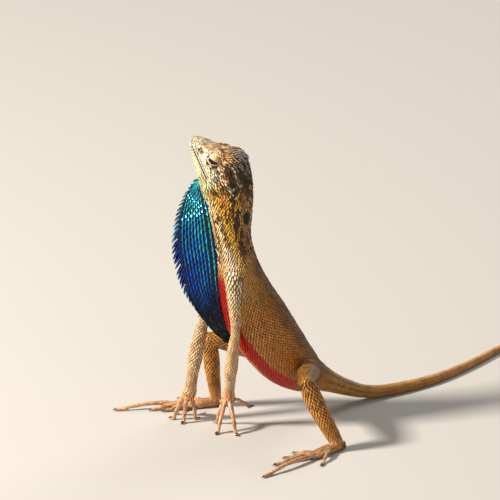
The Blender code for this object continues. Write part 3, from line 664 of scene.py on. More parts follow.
def set_values(item, name, values):
    """Stores one number or one colour for every vertex."""
    values = np.asarray(values, dtype=np.float32)
    if values.ndim == 1:
        item.data.attributes.new(name, "FLOAT", "POINT").data.foreach_set("value", values)
        return
    full = np.ones((len(values), 4), dtype=np.float32)
    full[:, :3] = values
    item.data.attributes.new(name, "FLOAT_COLOR", "POINT").data.foreach_set("color", full.ravel())


def grid_tube(rings):
    """Points and faces of a closed tube from an array of rings, with fanned ends."""
    count, sides = rings.shape[:2]
    points = np.concatenate([rings.reshape(-1, 3), rings[:1].mean(axis=1), rings[-1:].mean(axis=1)])
    faces = []
    first = count * sides
    for i in range(count - 1):
        for k in range(sides):
            n = (k + 1) % sides
            a, b = i * sides, i * sides + sides
            faces += [(a + k, a + n, b + n), (a + k, b + n, b + k)]
    last = (count - 1) * sides
    for k in range(sides):
        n = (k + 1) % sides
        faces += [(first, n, k), (first + 1, last + k, last + n)]
    return points, faces


def course_tube(course, sides, grow):
    """Closed tube with round ends along a course."""
    last = course.rows / course.steps
    ends = np.array(END_ROWS)
    rows = np.concatenate([-ends[::-1], np.linspace(0.0, last, course.rows + 1), last + ends])
    turn = round_turns(sides, 0.5)
    return grid_tube(np.array([course.point(np.full(sides, row), turn, grow) for row in rows]))


def digit_rows(root, tip, thickness, laid):
    """Centre line and sizes of a finger or toe, and the root, tip and side of its claw."""
    root, tip = Vector(root), Vector(tip)
    ground = tip.z - CLAW_TIP_UP
    ahead = Vector((tip.x - root.x, tip.y - root.y, 0.0))
    run = ahead.normalized()
    claw_root = tip - run * CLAW_LENGTH
    pad = claw_root - run * min(laid, 0.25 * ahead.length)
    pad.z = claw_root.z = ground + thickness * 0.7
    up = Vector((0.0, 0.0, ahead.length))
    leave = root.lerp(pad, 0.3) + run * (0.16 * ahead.length) + up * 0.07
    land = root.lerp(pad, 0.72) + run * (0.04 * ahead.length) + up * 0.05
    rows = []
    for share in DIGIT_SHARES:
        rest = 1 - share
        place = (root * rest ** 3 + leave * 3 * rest * rest * share
                 + land * 3 * rest * share * share + pad * share ** 3)
        knuckles = 0.1 * math.cos(share * 6 * math.pi)
        size = thickness * (1.25 + knuckles - 0.3 * share)
        rows.append((*place, size, size))
    rows.append((*claw_root, thickness * 0.85, thickness * 0.85))
    return rows, claw_root, tip, run.cross(Vector((0.0, 0.0, 1.0)))


def limb_digits(rows, fingers):
    palm = Vector(rows[-1][:3])
    out = []
    for x, y, z, thickness in fingers:
        tip = Vector((x, y, z))
        away = tip - palm
        away.z = 0.0
        root = palm + away.normalized() * 0.5 + Vector((0.0, 0.0, 0.7))
        out.append(digit_rows(root, tip, thickness, FINGER_LAID))
    return out


def foot_digits(sole, toes):
    front = Vector(sole.centre[-1])
    side = Vector(sole.side[-1])
    along = Vector(sole.along[-1])
    out = []
    for place, (x, y, z, thickness) in zip(TOE_ROOTS, toes):
        root = front + side * place - along * (5.0 if place > 1.0 else 1.2)
        out.append(digit_rows(root, Vector((x, y, z)), thickness, TOE_LAID))
    return out


def across_limb(rows):
    run = Vector(rows[-1][:3]) - Vector(rows[0][:3])
    return run.cross(Vector((0.0, 0.0, 1.0))).normalized()


def joined(parts):
    """Points and faces of several meshes in one."""
    points, faces, first = [], [], 0
    for part_points, part_faces in parts:
        points.append(part_points)
        faces += [tuple(k + first for k in face) for face in part_faces]
        first += len(part_points)
    return np.concatenate(points), faces


# Skin


def head_tube(head):
    """The head's surface under the scales, with round caps over the snout and the rear."""
    turn = round_turns(HEAD_SIDES, 0.5)
    _, out, up = head.local(np.full(HEAD_SIDES, 0.01), turn, -COAT)
    rings = [head_place(-ahead, (1 - less) * out, (1 - less) * up) for ahead, less in NOSE_CAP]
    for back in HEAD_STATIONS:
        rings.append(head.point(np.full(HEAD_SIDES, back), turn, -COAT))
    rear = rings[-1]
    middle = rear.mean(axis=0)
    rings += [middle + (rear - middle) * size - FRONT * behind for size, behind in REAR_CAP]
    return grid_tube(np.array(rings))


def raw_skin(head, tubes):
    """All the tubes and the head fused into one surface, in body millimetres."""
    points, faces = joined([head_tube(head)] + tubes)
    mesh = bpy.data.meshes.new("raw")
    mesh.from_pydata(points.tolist(), [], faces)
    item = place_item("raw", mesh)
    fuse = item.modifiers.new("fuse", "REMESH")
    fuse.mode = "VOXEL"
    fuse.voxel_size = VOXEL
    bpy.context.view_layer.update()
    result = bpy.data.meshes.new_from_object(item.evaluated_get(bpy.context.evaluated_depsgraph_get()))
    bpy.data.objects.remove(item, do_unlink=True)
    return result


def at_features(points, features, mouth_half, mouth_end, first=-1.5):
    """True at the given features of the head and along its mouth line."""
    back, out, up = head_measures(points)
    found = (np.abs(up - mouth_level(back)) < mouth_half) & (back < mouth_end)
    for place, tall, reach, start in features:
        found |= (apart(back, up, place, tall) < reach) & (np.abs(out) > start)
    return found & on_head(back, first)


def refine_skin(mesh):
    """Smooths the fused surface and splits its faces round the features of the head."""
    shape = bmesh.new()
    shape.from_mesh(mesh)
    stout = [vert for vert in shape.verts if vert.co.z > STOUT_ABOVE]
    for chosen, times in zip((shape.verts, stout), SMOOTHINGS):
        for _ in range(times):
            bmesh.ops.smooth_vert(shape, verts=chosen, factor=0.5, use_axis_x=True,
                                  use_axis_y=True, use_axis_z=True)
    centres = np.array([face.calc_center_median() for face in shape.faces])
    fine = at_features(centres, FINE_PLACES, *FINE_MOUTH)
    edges = {edge for face, keep in zip(shape.faces, fine) if keep for edge in face.edges}
    bmesh.ops.subdivide_edges(shape, edges=list(edges), cuts=1, use_grid_fill=True)
    bmesh.ops.triangulate(shape, faces=shape.faces)
    bmesh.ops.recalc_face_normals(shape, faces=shape.faces)
    shape.normal_update()
    shape.verts.index_update()
    points = np.array([vert.co for vert in shape.verts])
    normals = np.array([vert.normal for vert in shape.verts])
    faces = np.array([[vert.index for vert in face.verts] for face in shape.faces])
    shape.free()
    return points, normals, faces


def eye_frame(side):
    """Axes of an eye: back along the opening, up across it, and outwards."""
    tilt = math.radians(SLIT_TILT)
    back = -FRONT * math.cos(tilt) + UP * math.sin(tilt)
    up = UP * math.cos(tilt) + FRONT * math.sin(tilt)
    return back, up, LEFT * side


def slit_edges(turn):
    """Lower and upper edge of the eye opening, in degrees, at an angle along it."""
    open_share = np.sqrt(np.clip(1 - (turn / SLIT_HALF) ** 2, 0, 1))
    return SLIT_LOW * open_share ** 1.1, SLIT_HIGH * open_share ** 0.8


def lid_reach(turn, lift, gap, thick):
    """Distance of the lids from the eye's centre, at angles along and across, and from the opening."""
    high, middle, width = LID_RIM
    dome = LID_BULGE * smooth(lift, 2.0, 30.0) * bell(turn, 8.0, 58.0)
    return EYE_RADIUS + thick + high * bell(gap, middle, width) + dome


def sculpt_eye(points, side):
    """Lifts lids over the eyeball and opens the slit between them."""
    centre = eye_centre(side)
    away = points - centre
    reach = np.maximum(np.linalg.norm(away, axis=1), 1e-9)
    x, y, z = (away @ axis for axis in eye_frame(side))
    turn = np.degrees(np.arctan2(x, z))
    lift = np.degrees(np.arcsin(np.clip(y / reach, -1, 1)))
    low, high = slit_edges(turn)
    inside = np.where(np.abs(turn) < SLIT_HALF, np.minimum(lift - low, high - lift), -20.0)
    lid = lid_reach(turn, lift, -inside, LID_THICK)
    shaped = lid + (EYE_RADIUS - 0.22 - lid) * smooth(inside, -2.0, 3.0)
    blend = 1 - smooth(np.degrees(np.arccos(np.clip(z / reach, -1, 1))), 58.0, 84.0)
    wanted = reach + (shaped - reach) * blend
    near = (reach < EYE_RADIUS + 1.4) & (z > 0)
    return np.where(near[:, None], centre + away / reach[:, None] * wanted[:, None], points)


def sculpt_head(points, normals):
    """Presses in the mouth line, nostrils and ears and raises their rims, the wrinkles and the lids."""
    back, out, up = head_measures(points)
    side = np.abs(out)
    over = up - mouth_level(back)
    ends = fall(back, MOUTH_END - 1.5, MOUTH_END)
    mouth = 0.07 * (bell(over, 0.33, 0.2) + bell(over, -0.33, 0.2)) - MOUTH_DEPTH * bell(over, 0.0, 0.13)
    hole = np.hypot((back - NOSTRIL[0]) * 1.25, up - NOSTRIL[1])
    nostril = 0.12 * bell(hole, 0.5, 0.2) - NOSTRIL_DEPTH * bell(hole, 0.0, 0.3)
    drum = apart(back, up, EAR, EAR_TALL)
    ear = 0.12 * bell(drum, 1.3, 0.25) - EAR_DEPTH * (1 - smooth(drum, 0.75, 1.15))
    ring = apart(back, up, EYE)
    wrinkles = 0.05 * np.sin(ring * 9.0) * smooth(ring, 1.7, 2.0) * fall(ring, 2.2, 3.0)
    depth = mouth * ends + (nostril + wrinkles) * (side > 0.9) + ear * (side > 2.0)
    points = points + normals * (depth * on_head(back))[:, None]
    for eye_side, _ in SIDES:
        points = sculpt_eye(points, eye_side)
    return points


class Skin:
    """The fused skin with what the scales need to find their place on it."""

    def __init__(self, points, faces):
        self.points, self.faces = points, faces
        self.tree = BVHTree.FromPolygons(points.tolist(), faces.tolist())
        a, b, c = (points[faces[:, k]] for k in range(3))
        flat = np.cross(b - a, c - a)
        normals = np.zeros_like(points)
        for k in range(3):
            np.add.at(normals, faces[:, k], flat)
        self.normals = unit(normals)

    def drop(self, points):
        """Nearest place on the skin, its normal and how far away it is, for each point."""
        places = np.empty_like(points)
        faces = np.empty(len(points), dtype=int)
        away = np.empty(len(points))
        for i, point in enumerate(points.tolist()):
            place, _, faces[i], away[i] = self.tree.find_nearest(point)
            places[i] = place
        normals = unit(self.normals[self.faces[faces]].mean(axis=1))
        return places, normals, away


# Scales


# Points of one scale: shares of its width and length, 1 on the rim, share of the keel, 1 underneath.
SCALE_FORM = [
    (-0.34, -0.1, 1, 0, 0), (-0.5, 0.34, 1, 0, 0), (-0.33, 0.72, 1, 0, 0), (0.0, 1.0, 1, 0, 0),
    (0.33, 0.72, 1, 0, 0), (0.5, 0.34, 1, 0, 0), (0.34, -0.1, 1, 0, 0),
    (0.0, 0.0, 0, 0.35, 0), (0.0, 0.4, 0, 1.0, 0), (0.0, 0.8, 0, 0.9, 0), (0.0, 0.4, 1, 0, 1),
]
SCALE_FACES = [
    (0, 8, 1), (0, 7, 8), (1, 8, 9), (1, 9, 2), (2, 9, 3), (6, 5, 8), (6, 8, 7), (5, 9, 8),
    (5, 4, 9), (4, 3, 9), (0, 6, 7), (10, 0, 1), (10, 1, 2), (10, 2, 3), (10, 3, 4), (10, 4, 5),
    (10, 5, 6), (10, 6, 0),
]
SCALE_SUNK = 0.02
SCALE_UNDER = -0.16  # height of the point underneath
TINT = 9  # column of the colour among the values kept for each scale
NEIGHBOURS = [np.array((a, b, c)) for a in (-1, 0, 1) for b in (-1, 0, 1) for c in (-1, 0, 1)]


class Coat:
    """All the scales that stand so far, so that later groups keep clear of them."""

    def __init__(self):
        self.groups = []
        self.tree = None

    def table(self, column):
        return np.concatenate([part[column] for group in self.groups for part in group.parts])

    def settle(self):
        """Takes in the scales added since the last call."""
        self.tree = tree_of(self.table(0))

    def bare_places(self, points, draw):
        """Places of the skin that no scale covers, spaced like the scales round them."""
        middles = self.table(0) + self.table(2) * self.table(4)[:, None] * SCALE_MIDDLE
        index, away = nearest(tree_of(middles), points)
        reach = BARE_REACH * np.minimum(self.table(3)[index], WIDEST_FILL)
        taken, chosen = {}, []
        for i in draw.permutation(np.nonzero(away > reach)[0]):
            place, near = points[i], reach[i] * FILL_APART
            cell = np.floor(place / FILL_CELL).astype(int)
            others = [other for step in NEIGHBOURS for other in taken.get(tuple(cell + step), ())]
            if all(((place - other) ** 2).sum() > near * near for other in others):
                taken.setdefault(tuple(cell), []).append(place)
                chosen.append(i)
        return np.array(chosen), index[chosen]


class Scales:
    """Collects scales of one piece: where they root, which way they lie and their sizes."""

    def __init__(self, coat=None):
        self.parts = []
        self.coat = coat
        if coat is not None:
            coat.groups.append(self)

    def add(self, root, normal, along, width, length, keel, lift, bend, tint, uv, edge=1.0):
        sizes = [np.broadcast_to(np.asarray(v, dtype=float), (len(root),))
                 for v in (width, length, keel, lift, bend, edge)]
        self.parts.append((root, normal, along, *sizes, tint, uv))

    def build(self, name, material, sharp=42):
        root, normal, along, width, length, keel, lift, bend, edge, tint, uv = (
            np.concatenate(group) for group in zip(*self.parts))
        along = unit(along - normal * dot(along, normal))
        across = np.cross(along, normal)
        form = np.array(SCALE_FORM)
        x = form[:, 0] * width[:, None]
        y = form[:, 1] * length[:, None]
        rise = lift[:, None] * form[:, 1] - SCALE_SUNK
        z = rise + form[:, 3] * keel[:, None] - x * x / (2 * bend[:, None])
        z = np.where(form[:, 4] > 0, SCALE_UNDER, z)
        points = (root[:, None] + across[:, None] * x[..., None] + along[:, None] * y[..., None]
                  + normal[:, None] * z[..., None])
        count, corners = x.shape
        faces = np.array(SCALE_FACES) + (np.arange(count) * corners)[:, None, None]
        item = make_mesh(name, points.reshape(-1, 3), faces.reshape(-1, 3), material, sharp)
        set_values(item, "marking", np.repeat(tint, corners, axis=0))
        # Share of the way out to the rim, times the scale's rim value: the material paints shade at the rim
        # and a highlight in the middle from it.
        set_values(item, "rim", (edge[:, None] * form[:, 2]).ravel())
        patch = np.stack([form[:, 0] + 0.5, (form[:, 1] + 0.1) / 1.1], axis=1) * PATCH
        flat = (uv[:, None] + patch[None]).reshape(-1, 2)
        layer = item.data.uv_layers.new(name="OFBake")
        corner_points = np.empty(len(item.data.loops), dtype=np.int32)
        item.data.loops.foreach_get("vertex_index", corner_points)
        layer.data.foreach_set("uv", flat[corner_points].astype(np.float32).ravel())
        return item


def lattice(course, band, stretch):
    """Staggered rows of places round a course: row position, angle, width and step of each."""
    row, last, count = band
    places = []
    while row < last:
        width = course.girth(row) / count
        turn = round_turns(count, 0.5 * (len(places) % 2))
        places.append(np.stack(np.broadcast_arrays(row, turn, width, width * stretch)))
        row += width * stretch / course.speed(row)
    return np.concatenate(places, axis=1)


def dress(scales, course, skin, band, atlas, marking, draw, stretch=0.62, keel=0.12, lift=0.2,
          keep=None, relief=None, loose=0.05, edge=1.0):
    """Covers one band of a course with scales that lie back along it."""
    first, last, count = band
    rows, turns, widths, steps = lattice(course, band, stretch)
    total = len(rows)
    speeds = np.array([course.speed(row) for row in rows])
    turns = turns + draw.standard_normal(total) * loose * 2 * math.pi / count
    rows = rows + draw.standard_normal(total) * loose * steps / speeds
    nominal = course.point(rows, turns, -COAT)
    along = unit(course.point(rows + 0.05 / speeds, turns, -COAT) - nominal)
    place, normal, away = skin.drop(nominal)
    good = (dot(place - nominal, normal)[:, 0] < DEEPEST) & (away < FURTHEST)
    if keep is not None:
        good &= keep(nominal)
    scales.coat.settle()
    good &= nearest(scales.coat.tree, place)[1] > widths * SCALE_APART
    bulk = 1 if relief is None else relief(nominal)
    sizes = (1 + (SIZE_SPREAD + loose) * draw.standard_normal(total)) * bulk
    tint = varied(marking(nominal, rows, turns), SHADE_SPREAD, draw)
    low_u, low_v, wide_u, wide_v = atlas
    uv = np.stack([low_u + wide_u * (turns % (2 * math.pi)) / (2 * math.pi) * 0.98,
                   low_v + wide_v * (rows - first) / (last - first)], axis=1)
    bend = np.maximum(LEAST_BEND, widths * count / (2 * math.pi))
    small = sizes * np.minimum(1, widths / FULL_WIDTH)
    rim = np.broadcast_to(edge(nominal) if callable(edge) else edge, (total,))
    values = (place, normal, along, widths * WIDER, steps * OVERLAP * np.sqrt(sizes), keel * small,
              lift * small, bend, tint, uv, rim)
    scales.add(*(value[good] for value in values))


def off_features(places, tall=1.0):
    """True where ordinary scales may stand: off the lids, this tall, the ears, nostrils and mouth line."""
    lids = (LID, tall, LID_REACH * tall ** 0.5, LID_START)
    return ~at_features(places, [lids, *OPEN_PLACES], *OPEN_MOUTH)


def fill_bare(coat, skin, draw):
    """Scales on the folds and round ends that the rows leave bare, like those beside them."""
    sample, lie = skin.points[::2], skin.normals[::2]
    open_skin = off_features(sample, SLIT_ROUND) & (sample[:, 2] > 0.25)
    sample, lie = sample[open_skin], lie[open_skin]
    chosen, like = coat.bare_places(sample, draw)
    along, width, length, keel, lift, bend, edge, tint, uv = (
        coat.table(k)[like] for k in range(2, TINT + 2))
    steep = np.abs(dot(along, lie[chosen])) > 0.75
    along = np.where(steep, np.array([0.0, 0.0, -1.0]), along)
    size = np.minimum(1.0, WIDEST_FILL / width)
    back = along * (length * size * SCALE_MIDDLE)[:, None]
    place, normal, _ = skin.drop(sample[chosen] - back)
    sizes = (value * size for value in (width, length, keel, lift))
    Scales(coat).add(place, normal, along, *sizes, bend, tint, uv, edge)


def row_of_scales(scales, head, skin, path, sizes, tint, keel, lift):
    """A single row of larger scales on both sides of the head, along places of back and up."""
    width, length = sizes
    path = np.array(path)
    reach = reaches(path)
    at = np.arange(0.0, reach[-1], length * 0.8)
    back, up = on_path(at, reach, path).T
    count = len(at)
    for side, _ in SIDES:
        out = side * np.array([side_reach(head, b, u) for b, u in zip(back, up)])
        place, normal, _ = skin.drop(head_place(back, out, up))
        uv = np.stack([0.02 + 0.45 * (side < 0) + 0.4 * at / reach[-1], np.full(count, 0.985)], axis=1)
        scales.add(place, normal, unit(np.gradient(place, axis=0)), width, length * 1.25, keel, lift,
                   1.5, np.broadcast_to(tint, (count, 3)), uv, 0.75)


# Markings


CREAM = colour(236, 222, 188)
GOLD = colour(204, 148, 68)
FLANK = colour(192, 120, 38)
OLIVE = colour(126, 92, 46)
BROWN = colour(84, 48, 24)
DARK = colour(48, 30, 20)
YELLOW = colour(210, 162, 44)
RED = colour(206, 30, 8)
TAN = colour(208, 160, 96)
PINK = colour(222, 178, 158)
ORANGE = colour(204, 122, 44)
GREY = colour(168, 150, 130)
SALMON = colour(236, 172, 118)
NAPE_SPOT = colour(34, 28, 34)
LIP_CREAM = colour(204, 204, 156)
CHIN_YELLOW = colour(214, 208, 140)
BROW_TAN = colour(222, 160, 98)
SADDLE_STEP = 0.85  # rows from one dark saddle of the back to the next
BAR_STEP = 0.9  # rows from one bar of the tail to the next
RED_ROW = 5.0  # row of the body where the red begins at the angle below
RED_ANGLE = 143
RED_RISE = 9  # degrees that the red's edge rises in one row

# Streaks of the neck: rows, and angles from the top in the unit below.
TURN_UNIT = 23.0  # degrees round the neck that are as long as one row of it
NECK_PALE = [(0.0, 6.4), (1.2, 6.6), (2.35, 5.9), (3.1, 5.7), (3.9, 5.5)]
NECK_STRIPE = [(1.4, 5.1), (2.23, 4.7), (2.88, 4.3), (3.6, 4.1), (4.1, 4.0)]
NECK_DARK = [(0.5, 3.2), (1.2, 3.6), (1.88, 3.9), (2.62, 3.5), (3.5, 3.25)]
NECK_SLIT = [(2.6, 5.15), (3.2, 5.0), (3.6, 4.9)]
NECK_RUST = [(0.6, 4.9), (1.1, 4.7)]
NAPE_PLACE = (2.05, 44)  # row, degrees from the top
NAPE_SIZE = (0.34, 15)
# Streaks of the head's side: distance behind the snout tip and height.
CHEEK_PALE = [(9.6, 1.3), (12.0, 0.6), (15.1, -0.7), (16.8, -1.4)]
TEMPLE_PALE = [(9.4, 4.3), (11.0, 4.2), (14.3, 2.9), (16.5, 1.7)]
TEMPLE_DARK = [(8.9, 2.6), (10.5, 2.9), (12.0, 2.7), (14.0, 1.6), (16.8, 0.2)]
CHEEK_DARK = [(9.0, 0.6), (11.4, -0.4), (13.6, -1.6)]
REAR_DARK = [(13.2, 4.4), (15.6, 3.6), (18.2, 2.3)]


def from_top(turns):
    """Degrees from the middle of the back: 0 on top, 180 underneath."""
    return np.abs((np.degrees(turns) - 90 + 180) % 360 - 180)


def stroke(along, across, path, half):
    """1 on a line through the given places, falling off over its half width."""
    far = np.full(len(along), np.inf)
    for (a, b), (c, d) in zip(path, path[1:]):
        share = ((along - a) * (c - a) + (across - b) * (d - b)) / ((c - a) ** 2 + (d - b) ** 2)
        share = np.clip(share, 0, 1)
        far = np.minimum(far, np.hypot(along - a - share * (c - a), across - b - share * (d - b)))
    return bell(far, 0.0, half)


def spot(back, up, place, size):
    """1 at a place of the head's side, falling off over a length and a height."""
    return np.exp(-((back - place[0]) / size[0]) ** 2 - ((up - place[1]) / size[1]) ** 2)


def body_marking(points, rows, turns):
    """Gold and brown hide with dark saddles, a pale line along the top of the back that is a painted rim
    highlight, and the red of the lower flank.
    """
    angle = from_top(turns)
    soft = clouds(points, 3.0, 1.0)
    fine = clouds(points, 1.1, 5.0)
    fleck = clouds(points, 0.8, 31.0)
    blotch = np.cos(rows * 2 * math.pi / SADDLE_STEP)
    tint = paint(
        GOLD,
        (FLANK, smooth(rows, 3.5, 6.0)),
        (TAN, 0.35 * smooth(fleck, 0.0, 0.4) * smooth(rows, 3.0, 4.0)),
        # Darker olive on the back: partly its own colour, partly painted shade on the side turned from the
        # light.
        (OLIVE * 0.6, fall(angle, 34, 72) * 0.8),
        (BROWN, 0.45 * smooth(soft + 0.4 * fine, 0.1, 0.5) * fall(angle, 50, 105)),
        # painted shade: the rear of the trunk towards the hips darkened with brown
        (BROWN, 0.3 * smooth(rows, 6.4, 7.8)),
        (BROWN, 0.8 * smooth(blotch * 18 - np.abs(angle - 16), -6, 6) * fall(rows, 8.5, 9.5)),
        # painted highlight: a thin pale line along the top of the back, where the light from behind catches
        # its edge
        (TAN, fall(angle, 4, 8) * 0.9))
    tint = neck_marking(tint, points, rows, angle)
    edge = RED_ANGLE - RED_RISE * (rows - RED_ROW) + 3.5 * soft
    belly = smooth(angle + 4 * soft, 162, 174) * smooth(rows + 0.25 * soft, 5.7, 6.6)
    ends = smooth(rows, 4.0, 4.6) * fall(rows, 7.5, 8.1)
    tint = paint(
        tint,
        # The red is darker at its upper part, beside the fan, as painted shade.
        (mix(RED * 0.6, RED, smooth(rows, 5.3, 6.3)), smooth(angle - edge, -2, 2) * (1 - belly) * ends),
        (TAN, belly))
    return mix(tint, tail_marking(points, rows, angle), smooth(rows, 8.4, 10.0))


def neck_marking(tint, points, rows, angle):
    """Yellow stripe, brown speckles and streaks, and the black and white fold beside the fan."""
    neck = fall(rows, 3.2, 4.2)
    fine = clouds(points, 0.75, 5.0)
    streak = clouds(points * np.array([1.0, 1.0, 0.3]), 0.8, 17.0)
    turn = angle / TURN_UNIT
    side = neck * smooth(angle, 48, 66)
    blotch = np.hypot((rows - NAPE_PLACE[0]) / NAPE_SIZE[0], (angle - NAPE_PLACE[1]) / NAPE_SIZE[1])
    fold = bell(rows, 3.5, 0.5) * smooth(angle, 148, 162)
    shoulder = smooth(rows, 2.9, 3.8) * fall(rows, 4.3, 5.3) * bell(angle, 122, 26)
    return paint(
        tint,
        (mix(YELLOW, ORANGE, smooth(fine, -0.3, 0.3)), side * 0.85),
        (BROWN * 0.8, 0.95 * side * smooth(fine + 0.7 * streak, -0.05, 0.12)),
        (mix(CREAM, YELLOW, 0.35),
         0.9 * stroke(rows, turn, NECK_PALE, 0.42) * neck * fall(fine, 0.12, 0.3)),
        (YELLOW, stroke(rows, turn, NECK_STRIPE, 0.3) * fall(fine, 0.2, 0.4)),
        (DARK, 0.9 * stroke(rows, turn, NECK_DARK, 0.3) * smooth(streak, -0.3, -0.05) * neck),
        (DARK, 0.85 * stroke(rows, turn, NECK_SLIT, 0.16)),
        (mix(BROWN, TAN, smooth(fine, 0.0, 0.25)), neck * fall(angle, 38, 60) * 0.9),
        (mix(ORANGE, BROWN, 0.4), 0.8 * stroke(rows, turn, NECK_RUST, 0.3)),
        (TAN, 0.9 * bell(blotch, 1.25, 0.25) * neck),
        (NAPE_SPOT, fall(blotch, 0.85, 1.15) * neck),
        (mix(CREAM, YELLOW, 0.2), 0.85 * neck * smooth(angle, 155, 165) * fall(rows, 2.4, 3.0)),
        (mix(DARK, CREAM, smooth(fine, -0.05, 0.05)), np.minimum(1, 1.5 * fold) * 0.9),
        (CREAM * 0.85, shoulder * 0.6))


def tail_marking(points, rows, angle):
    """Brown lines along the tail, pale underneath, with faint bars behind."""
    lines = 0.75 * (bell(angle, 48, 9) + bell(angle, 88, 8)) + 0.4 * bell(angle, 128, 8)
    lines = lines * smooth(clouds(points, 1.2, 9.0), -0.5, -0.1)
    return paint(
        GOLD,
        (TAN, fall(angle, 20, 40)),
        (mix(GOLD, ORANGE, 0.5), 0.7 * smooth(rows, 11.5, 14.0) * smooth(angle, 20, 50)),
        (BROWN * 1.2, lines * (1 - 0.45 * smooth(rows, 11.0, 13.0))),
        (PINK, smooth(angle, 135, 160) * 0.6),
        (BROWN, smooth(np.sin(rows * 2 * math.pi / BAR_STEP + 0.7), 0.55, 0.9) * smooth(rows, 12, 15) * 0.25))


def head_marking(points, rows, turns):
    """Cream snout and lips, brown and tan crown and temple, streaked cheek and yellow throat."""
    back, out, up = head_measures(points)
    side = smooth(np.abs(out), 0.6, 1.8)
    fine = clouds(points, 0.6, 3.0)
    soft = clouds(points, 2.0, 7.0)
    rough = clouds(points, 0.5, 41.0)
    throat = smooth(back, 10.6, 12.4) * fall(up, -0.4, 0.9)
    crown = smooth(up - 0.24 * back, 1.2, 1.9)
    temple = smooth(back, 8.8, 10.2) * smooth(up + 0.3 * (back - 9.0), 0.9, 1.6) * fall(up, 4.9, 5.9)
    hide = mix(BROWN * 0.6, mix(ORANGE, BROWN, 0.5), smooth(fine + 0.5 * soft, 0.0, 0.35))
    rear = smooth(back, 9.6, 11.0) * smooth(up, 3.9, 4.8)
    cheek = bell(np.hypot((back - 10.2) / 1.7, (up + 0.2 * (back - 8.0)) / 1.2), 0.0, 1.0)
    chin = fall(np.abs(out), 3.4, 4.2) * fall(up, -4.6, -3.2)
    tint = paint(
        CREAM * 0.7,
        (LIP_CREAM, fall(up, -3.0, -0.5)),
        (GREY * 0.7, 0.6 * smooth(fine, 0.1, 0.35)),
        (mix(YELLOW, ORANGE, smooth(soft, -0.3, 0.3)), throat * 0.95),
        (BROWN * 0.9, 0.95 * throat * smooth(fine + 0.5 * soft, -0.12, 0.08)),
        (mix(GREY * 0.75, TAN * 0.85, smooth(soft, -0.3, 0.3)), crown * 0.75),
        (BROWN, 0.7 * crown * smooth(fine, 0.0, 0.25) * smooth(back, 2.0, 5.0)),
        (hide, temple * 0.97),
        (mix(BROWN * 0.7, GREY * 1.1, smooth(rough, -0.05, 0.2)), rear * 0.9),
        (mix(PINK * 0.9, CREAM * 0.75, smooth(rough, -0.2, 0.2)), 0.85 * cheek * side),
        (BROWN * 0.8, 0.8 * cheek * side * smooth(fine, 0.05, 0.2)),
        (mix(CREAM, YELLOW, 0.25), stroke(back, up, CHEEK_PALE, 0.4) * side * 0.9),
        (mix(CREAM, TAN, 0.5),
         stroke(back, up, TEMPLE_PALE, 0.36) * side * 0.8 * smooth(rough, -0.3, 0.0)),
        (DARK, stroke(back, up, TEMPLE_DARK, 0.6) * side * 0.92),
        (BROWN * 0.6, stroke(back, up, CHEEK_DARK, 0.3) * side * 0.85),
        (BROWN * 0.6, stroke(back, up, REAR_DARK, 0.8) * side * 0.85),
        (OLIVE * 0.3, np.minimum(1, 1.4 * spot(back, up, (8.4, 0.1), (1.3, 0.5))) * side),
        (mix(ORANGE, RED, 0.3), spot(back, up, (14.9, -3.3), (0.9, 0.9)) * side * 0.8),
        (CHIN_YELLOW, chin * fall(fine, 0.15, 0.35)))
    ring = apart(back, up, LID)
    above = smooth(up + 0.25 * back, 3.2, 4.2) * side
    return paint(
        tint,
        (BROWN * 0.6, 0.95 * bell(ring, 2.15, 0.2) * above),
        (BROW_TAN, 0.9 * bell(ring, 2.75, 0.4) * above),
        (DARK, spot(back, up, (4.6, 1.6), (0.4, 0.32)) * side * 0.85),
        # painted shade in the nostrils, on the scales round them
        (DARK, bell(apart(back, up, NOSTRIL), 0.0, 0.5) * side * 0.7))


def head_relief(points):
    """Taller, rougher scales on the rear of the crown, the temples and the brow."""
    back, _, up = head_measures(points)
    rear = smooth(back, 8.6, 10.0) * smooth(up, 1.6, 3.0)
    brow = bell(apart(back, up, LID), 2.8, 0.5) * smooth(up, 2.4, 3.2)
    flat = fall(back, 2.0, 4.0)
    return 1 + 0.8 * rear * smooth(clouds(points, 0.5, 21.0), -0.1, 0.3) + 0.5 * brow - 0.4 * flat


def head_rim_shade(points):
    """How strong the painted shade at the rims of the scales is: faint on the snout, full on the neck."""
    back, _, up = head_measures(points)
    return 0.5 + 0.5 * smooth(back + 0.4 * (np.abs(up) - 2), 6.0, 9.5)


def arm_marking(points, rows, turns):
    warm = clouds(points, 2.0, 2.0) + 0.06 * (rows - 5)
    return paint(
        mix(CREAM, GOLD, 0.35) * 0.95,
        (mix(CREAM, GOLD, 0.5), smooth(rows, 1.0, 3.0)),
        (ORANGE, 0.55 * smooth(warm, -0.1, 0.5)),
        (OLIVE, 0.5 * smooth(clouds(points, 0.8, 9.0), 0.1, 0.35) * fall(rows, 2.5, 4.5)),
        (SALMON, 0.85 * smooth(rows, 7.6, 9.6)))


def thigh_marking(points, rows, turns):
    gleam = smooth(rows, 3.0, 4.6) * smooth(clouds(points, 0.9, 6.0), -0.1, 0.3)
    tint = paint(
        mix(ORANGE, GOLD, 0.6),
        # Brown mottle over an even brown share that is painted shade on the thigh.
        (BROWN, 0.25 + 0.4 * smooth(clouds(points, 1.1, 4.0), 0.05, 0.3)),
        (YELLOW * 0.9, 0.5 * gleam))
    return mix(FLANK, tint, smooth(rows, 0.8, 2.4))


def shin_marking(points, rows, turns):
    return paint(
        mix(ORANGE, GOLD, 0.45),
        (YELLOW, 0.35 * smooth(clouds(points, 1.0, 6.0), 0.0, 0.3)),
        # Brown mottle over an even brown share that is painted shade on the shin and foot.
        (BROWN, 0.15 + 0.45 * smooth(clouds(points, 1.6, 4.0), 0.05, 0.4)),
        (SALMON * 0.9, 0.7 * smooth(rows, 3.6, 5.0)))


